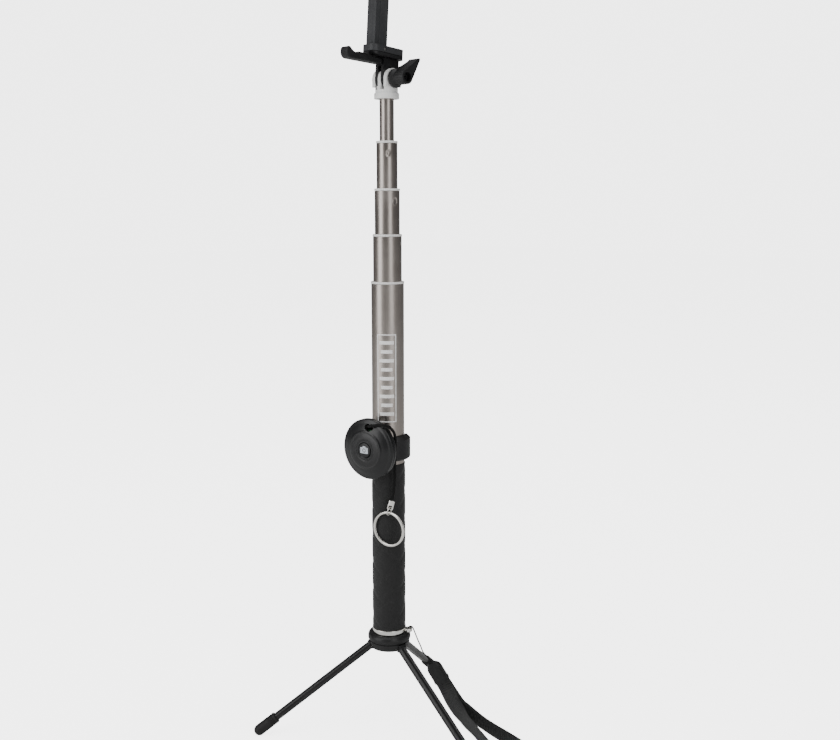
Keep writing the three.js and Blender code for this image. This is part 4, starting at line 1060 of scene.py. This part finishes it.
# wrist strap
stringSettings = {
    "diameter": 0.0011, "strands": 3, "pitch": 0.002, "sides": 16, "count": 360,
    "route": [
        (0.01377, 0.00795, 0.0809), (0.01377, 0.00795, 0.0833), (0.0148, 0.00854, 0.0849),
        (0.0165, 0.0095, 0.0847), (0.0175, 0.0103, 0.0825), (0.0181, 0.0117, 0.0785),
        (0.0184, 0.0140, 0.0730), (0.0173, 0.0183, 0.0660), (0.0139, 0.0246, 0.0576),
        (0.0116, 0.0316, 0.0506), (0.00935, 0.0386, 0.0432),
    ],
}
webbingSettings = {
    "width": 0.012, "thick": 0.0013, "rib": 0.0021, "ribDepth": 0.42,
    "selvedge": 0.82,  # share of the half width where the ribs stop
    "settle": 0.075, "count": 2600,
    "route": [
        (0.01238, 0.04657, 0.02717), (0.0129, 0.0485, 0.0237), (0.0134, 0.0502, 0.0206),
        (0.0143, 0.0516, 0.0174), (0.0168, 0.0522, 0.0130), (0.0218, 0.0510, 0.0092),
        (0.0308, 0.0474, 0.0066), (0.0415, 0.0422, 0.0064), (0.0511, 0.0369, 0.0064),
        (0.0650, 0.0310, 0.0064), (0.0790, 0.0245, 0.0064), (0.0950, 0.0175, 0.0064),
        (0.1100, 0.0126, 0.0064), (0.1240, 0.0106, 0.0064), (0.1360, 0.0120, 0.0064),
        (0.1425, 0.0185, 0.0064), (0.1410, 0.0265, 0.0064), (0.1320, 0.0315, 0.0064),
        (0.1200, 0.0348, 0.0064), (0.1060, 0.0375, 0.0064), (0.0933, 0.0394, 0.0064),
        (0.0800, 0.0410, 0.0064), (0.0660, 0.0434, 0.0064), (0.0522, 0.0466, 0.0064),
        (0.0410, 0.0493, 0.0064), (0.0310, 0.0516, 0.0066), (0.0218, 0.0543, 0.0092),
        (0.0149, 0.0550, 0.0136), (0.0121, 0.0536, 0.0182), (0.0113, 0.0517, 0.0214),
        (0.0109, 0.0501, 0.0243), (0.01039, 0.04815, 0.02775),
    ],
}
capSettings = {
    "top": (9.2, 39.2, 42),
    "end": (11.9, 49.3, 24),
    "wide": (0.632, 0.632, 0.45),
    "width": 13.4, "thick": 6.4, "sides": 64, "power": 0.42,
    "neck": {"wide": 0.42, "thick": 0.45, "long": 7, "thickLong": 5},
    "bead": {"tall": 2.4, "inset": 0.955},
    "mouth": {"wide": 0.62, "thick": 0.85, "deep": 5.5},
}


# ribbed band: across its width a thin rounded bar, along it a cosine of cross ribs, low at the selvedges
def webbingSection(walked):
    s = webbingSettings
    up = np.linspace(-1, 1, 15)
    edge = np.sqrt(np.clip(1 - np.abs(up) ** 7, 0.05, 1))
    wave = 0.5 + 0.5 * np.cos(2 * pi * walked / s["rib"])
    ribbed = np.where(np.abs(up) < s["selvedge"], 1.0, 0.25)
    relief = 1 - s["ribDepth"] + s["ribDepth"] * wave[:, None] * ribbed[None]
    half = s["thick"] / 2 * edge[None] * relief
    height = np.broadcast_to(up * s["width"] / 2, half.shape)
    front = np.stack([half, height], -1)
    back = np.stack([-half, height], -1)[:, ::-1]
    return np.concatenate([front, back], 1)


def capFrame():
    top, end = (np.array(capSettings[k], float) for k in ("top", "end"))
    length = np.linalg.norm(end - top)
    axis = (end - top) / length
    wide = np.array(capSettings["wide"])
    up = wide - wide @ axis * axis
    up /= np.linalg.norm(up)
    across = np.cross(axis, up)
    place = np.eye(4)
    place[:3, 0], place[:3, 1], place[:3, 2], place[:3, 3] = up, across, axis, top
    return place, length


# the strap's moulded cap: a superellipse section that grows from its neck as a sine, hollow at its mouth
def makeCap():
    place, length = capFrame()
    c = capSettings
    neck, mouth = c["neck"], c["mouth"]
    half, deep = c["width"] / 2, c["thick"] / 2
    bottom = [length - up for up in (5, 2.6, 2.2, 0.5, 0.12)]
    down = np.concatenate([[0.02], np.linspace(0.25, neck["long"], 16), bottom])
    widen = np.sin(np.clip(down / neck["long"], 0, 1) * pi / 2) ** 0.85
    thicken = np.sin(np.clip(down / neck["thickLong"], 0, 1) * pi / 2)
    inset = np.where(down > length - c["bead"]["tall"], 1.0, c["bead"]["inset"])
    width = half * (neck["wide"] + (1 - neck["wide"]) * widen) * inset
    depth = deep * (neck["thick"] + (1 - neck["thick"]) * thicken) * inset
    sizes = [*zip(width, depth, down), (half - 0.3, deep - 0.35, length)]
    sizes += [(half - mouth["wide"], deep - mouth["thick"], z) for z in (length, length - mouth["deep"])]
    across, up = boxyRound(c["sides"], c["power"])
    points = [np.column_stack([w * across, d * up, np.full(c["sides"], z)]) for w, d, z in sizes]
    shape = points, cappedGrid(len(sizes), c["sides"])
    return addPiece("strapCap", shape, "tripod", "strap_cap", "blackPlastic", place, sharp=42)


def makeStrap():
    s, w = stringSettings, webbingSettings
    cap = makeCap()
    path, length = curveThrough(s["route"], s["count"])
    section = braided(path, s["diameter"] / 2, s["strands"], s["pitch"], s["sides"])
    shape = carried(path, section, (0.5, -0.8, 0.3))
    string = addPiece("strapString", shape, "tripod", "strap_string", "cordBlack", scale=1)
    bandPath, bandLength = curveThrough(w["route"], w["count"])
    walked = np.linspace(0, bandLength, len(bandPath))
    # the band's width turns from the cap's direction to upright: 3t^2 - 2t^3 over a length from each end
    t = np.clip(np.minimum(walked, bandLength - walked) / w["settle"], 0, 1)[:, None]
    share = 3 * t**2 - 2 * t**3
    wide = (1 - share) * np.array(capSettings["wide"]) + share * np.array((0, 0, 1.0))
    shape = carried(bandPath, webbingSection(walked), wide)
    band = addPiece("strapWebbing", shape, "tripod", "strap_webbing", "webbing", scale=1, sharp=70)


makeLanyard()
makeStrap()
print("cords made")
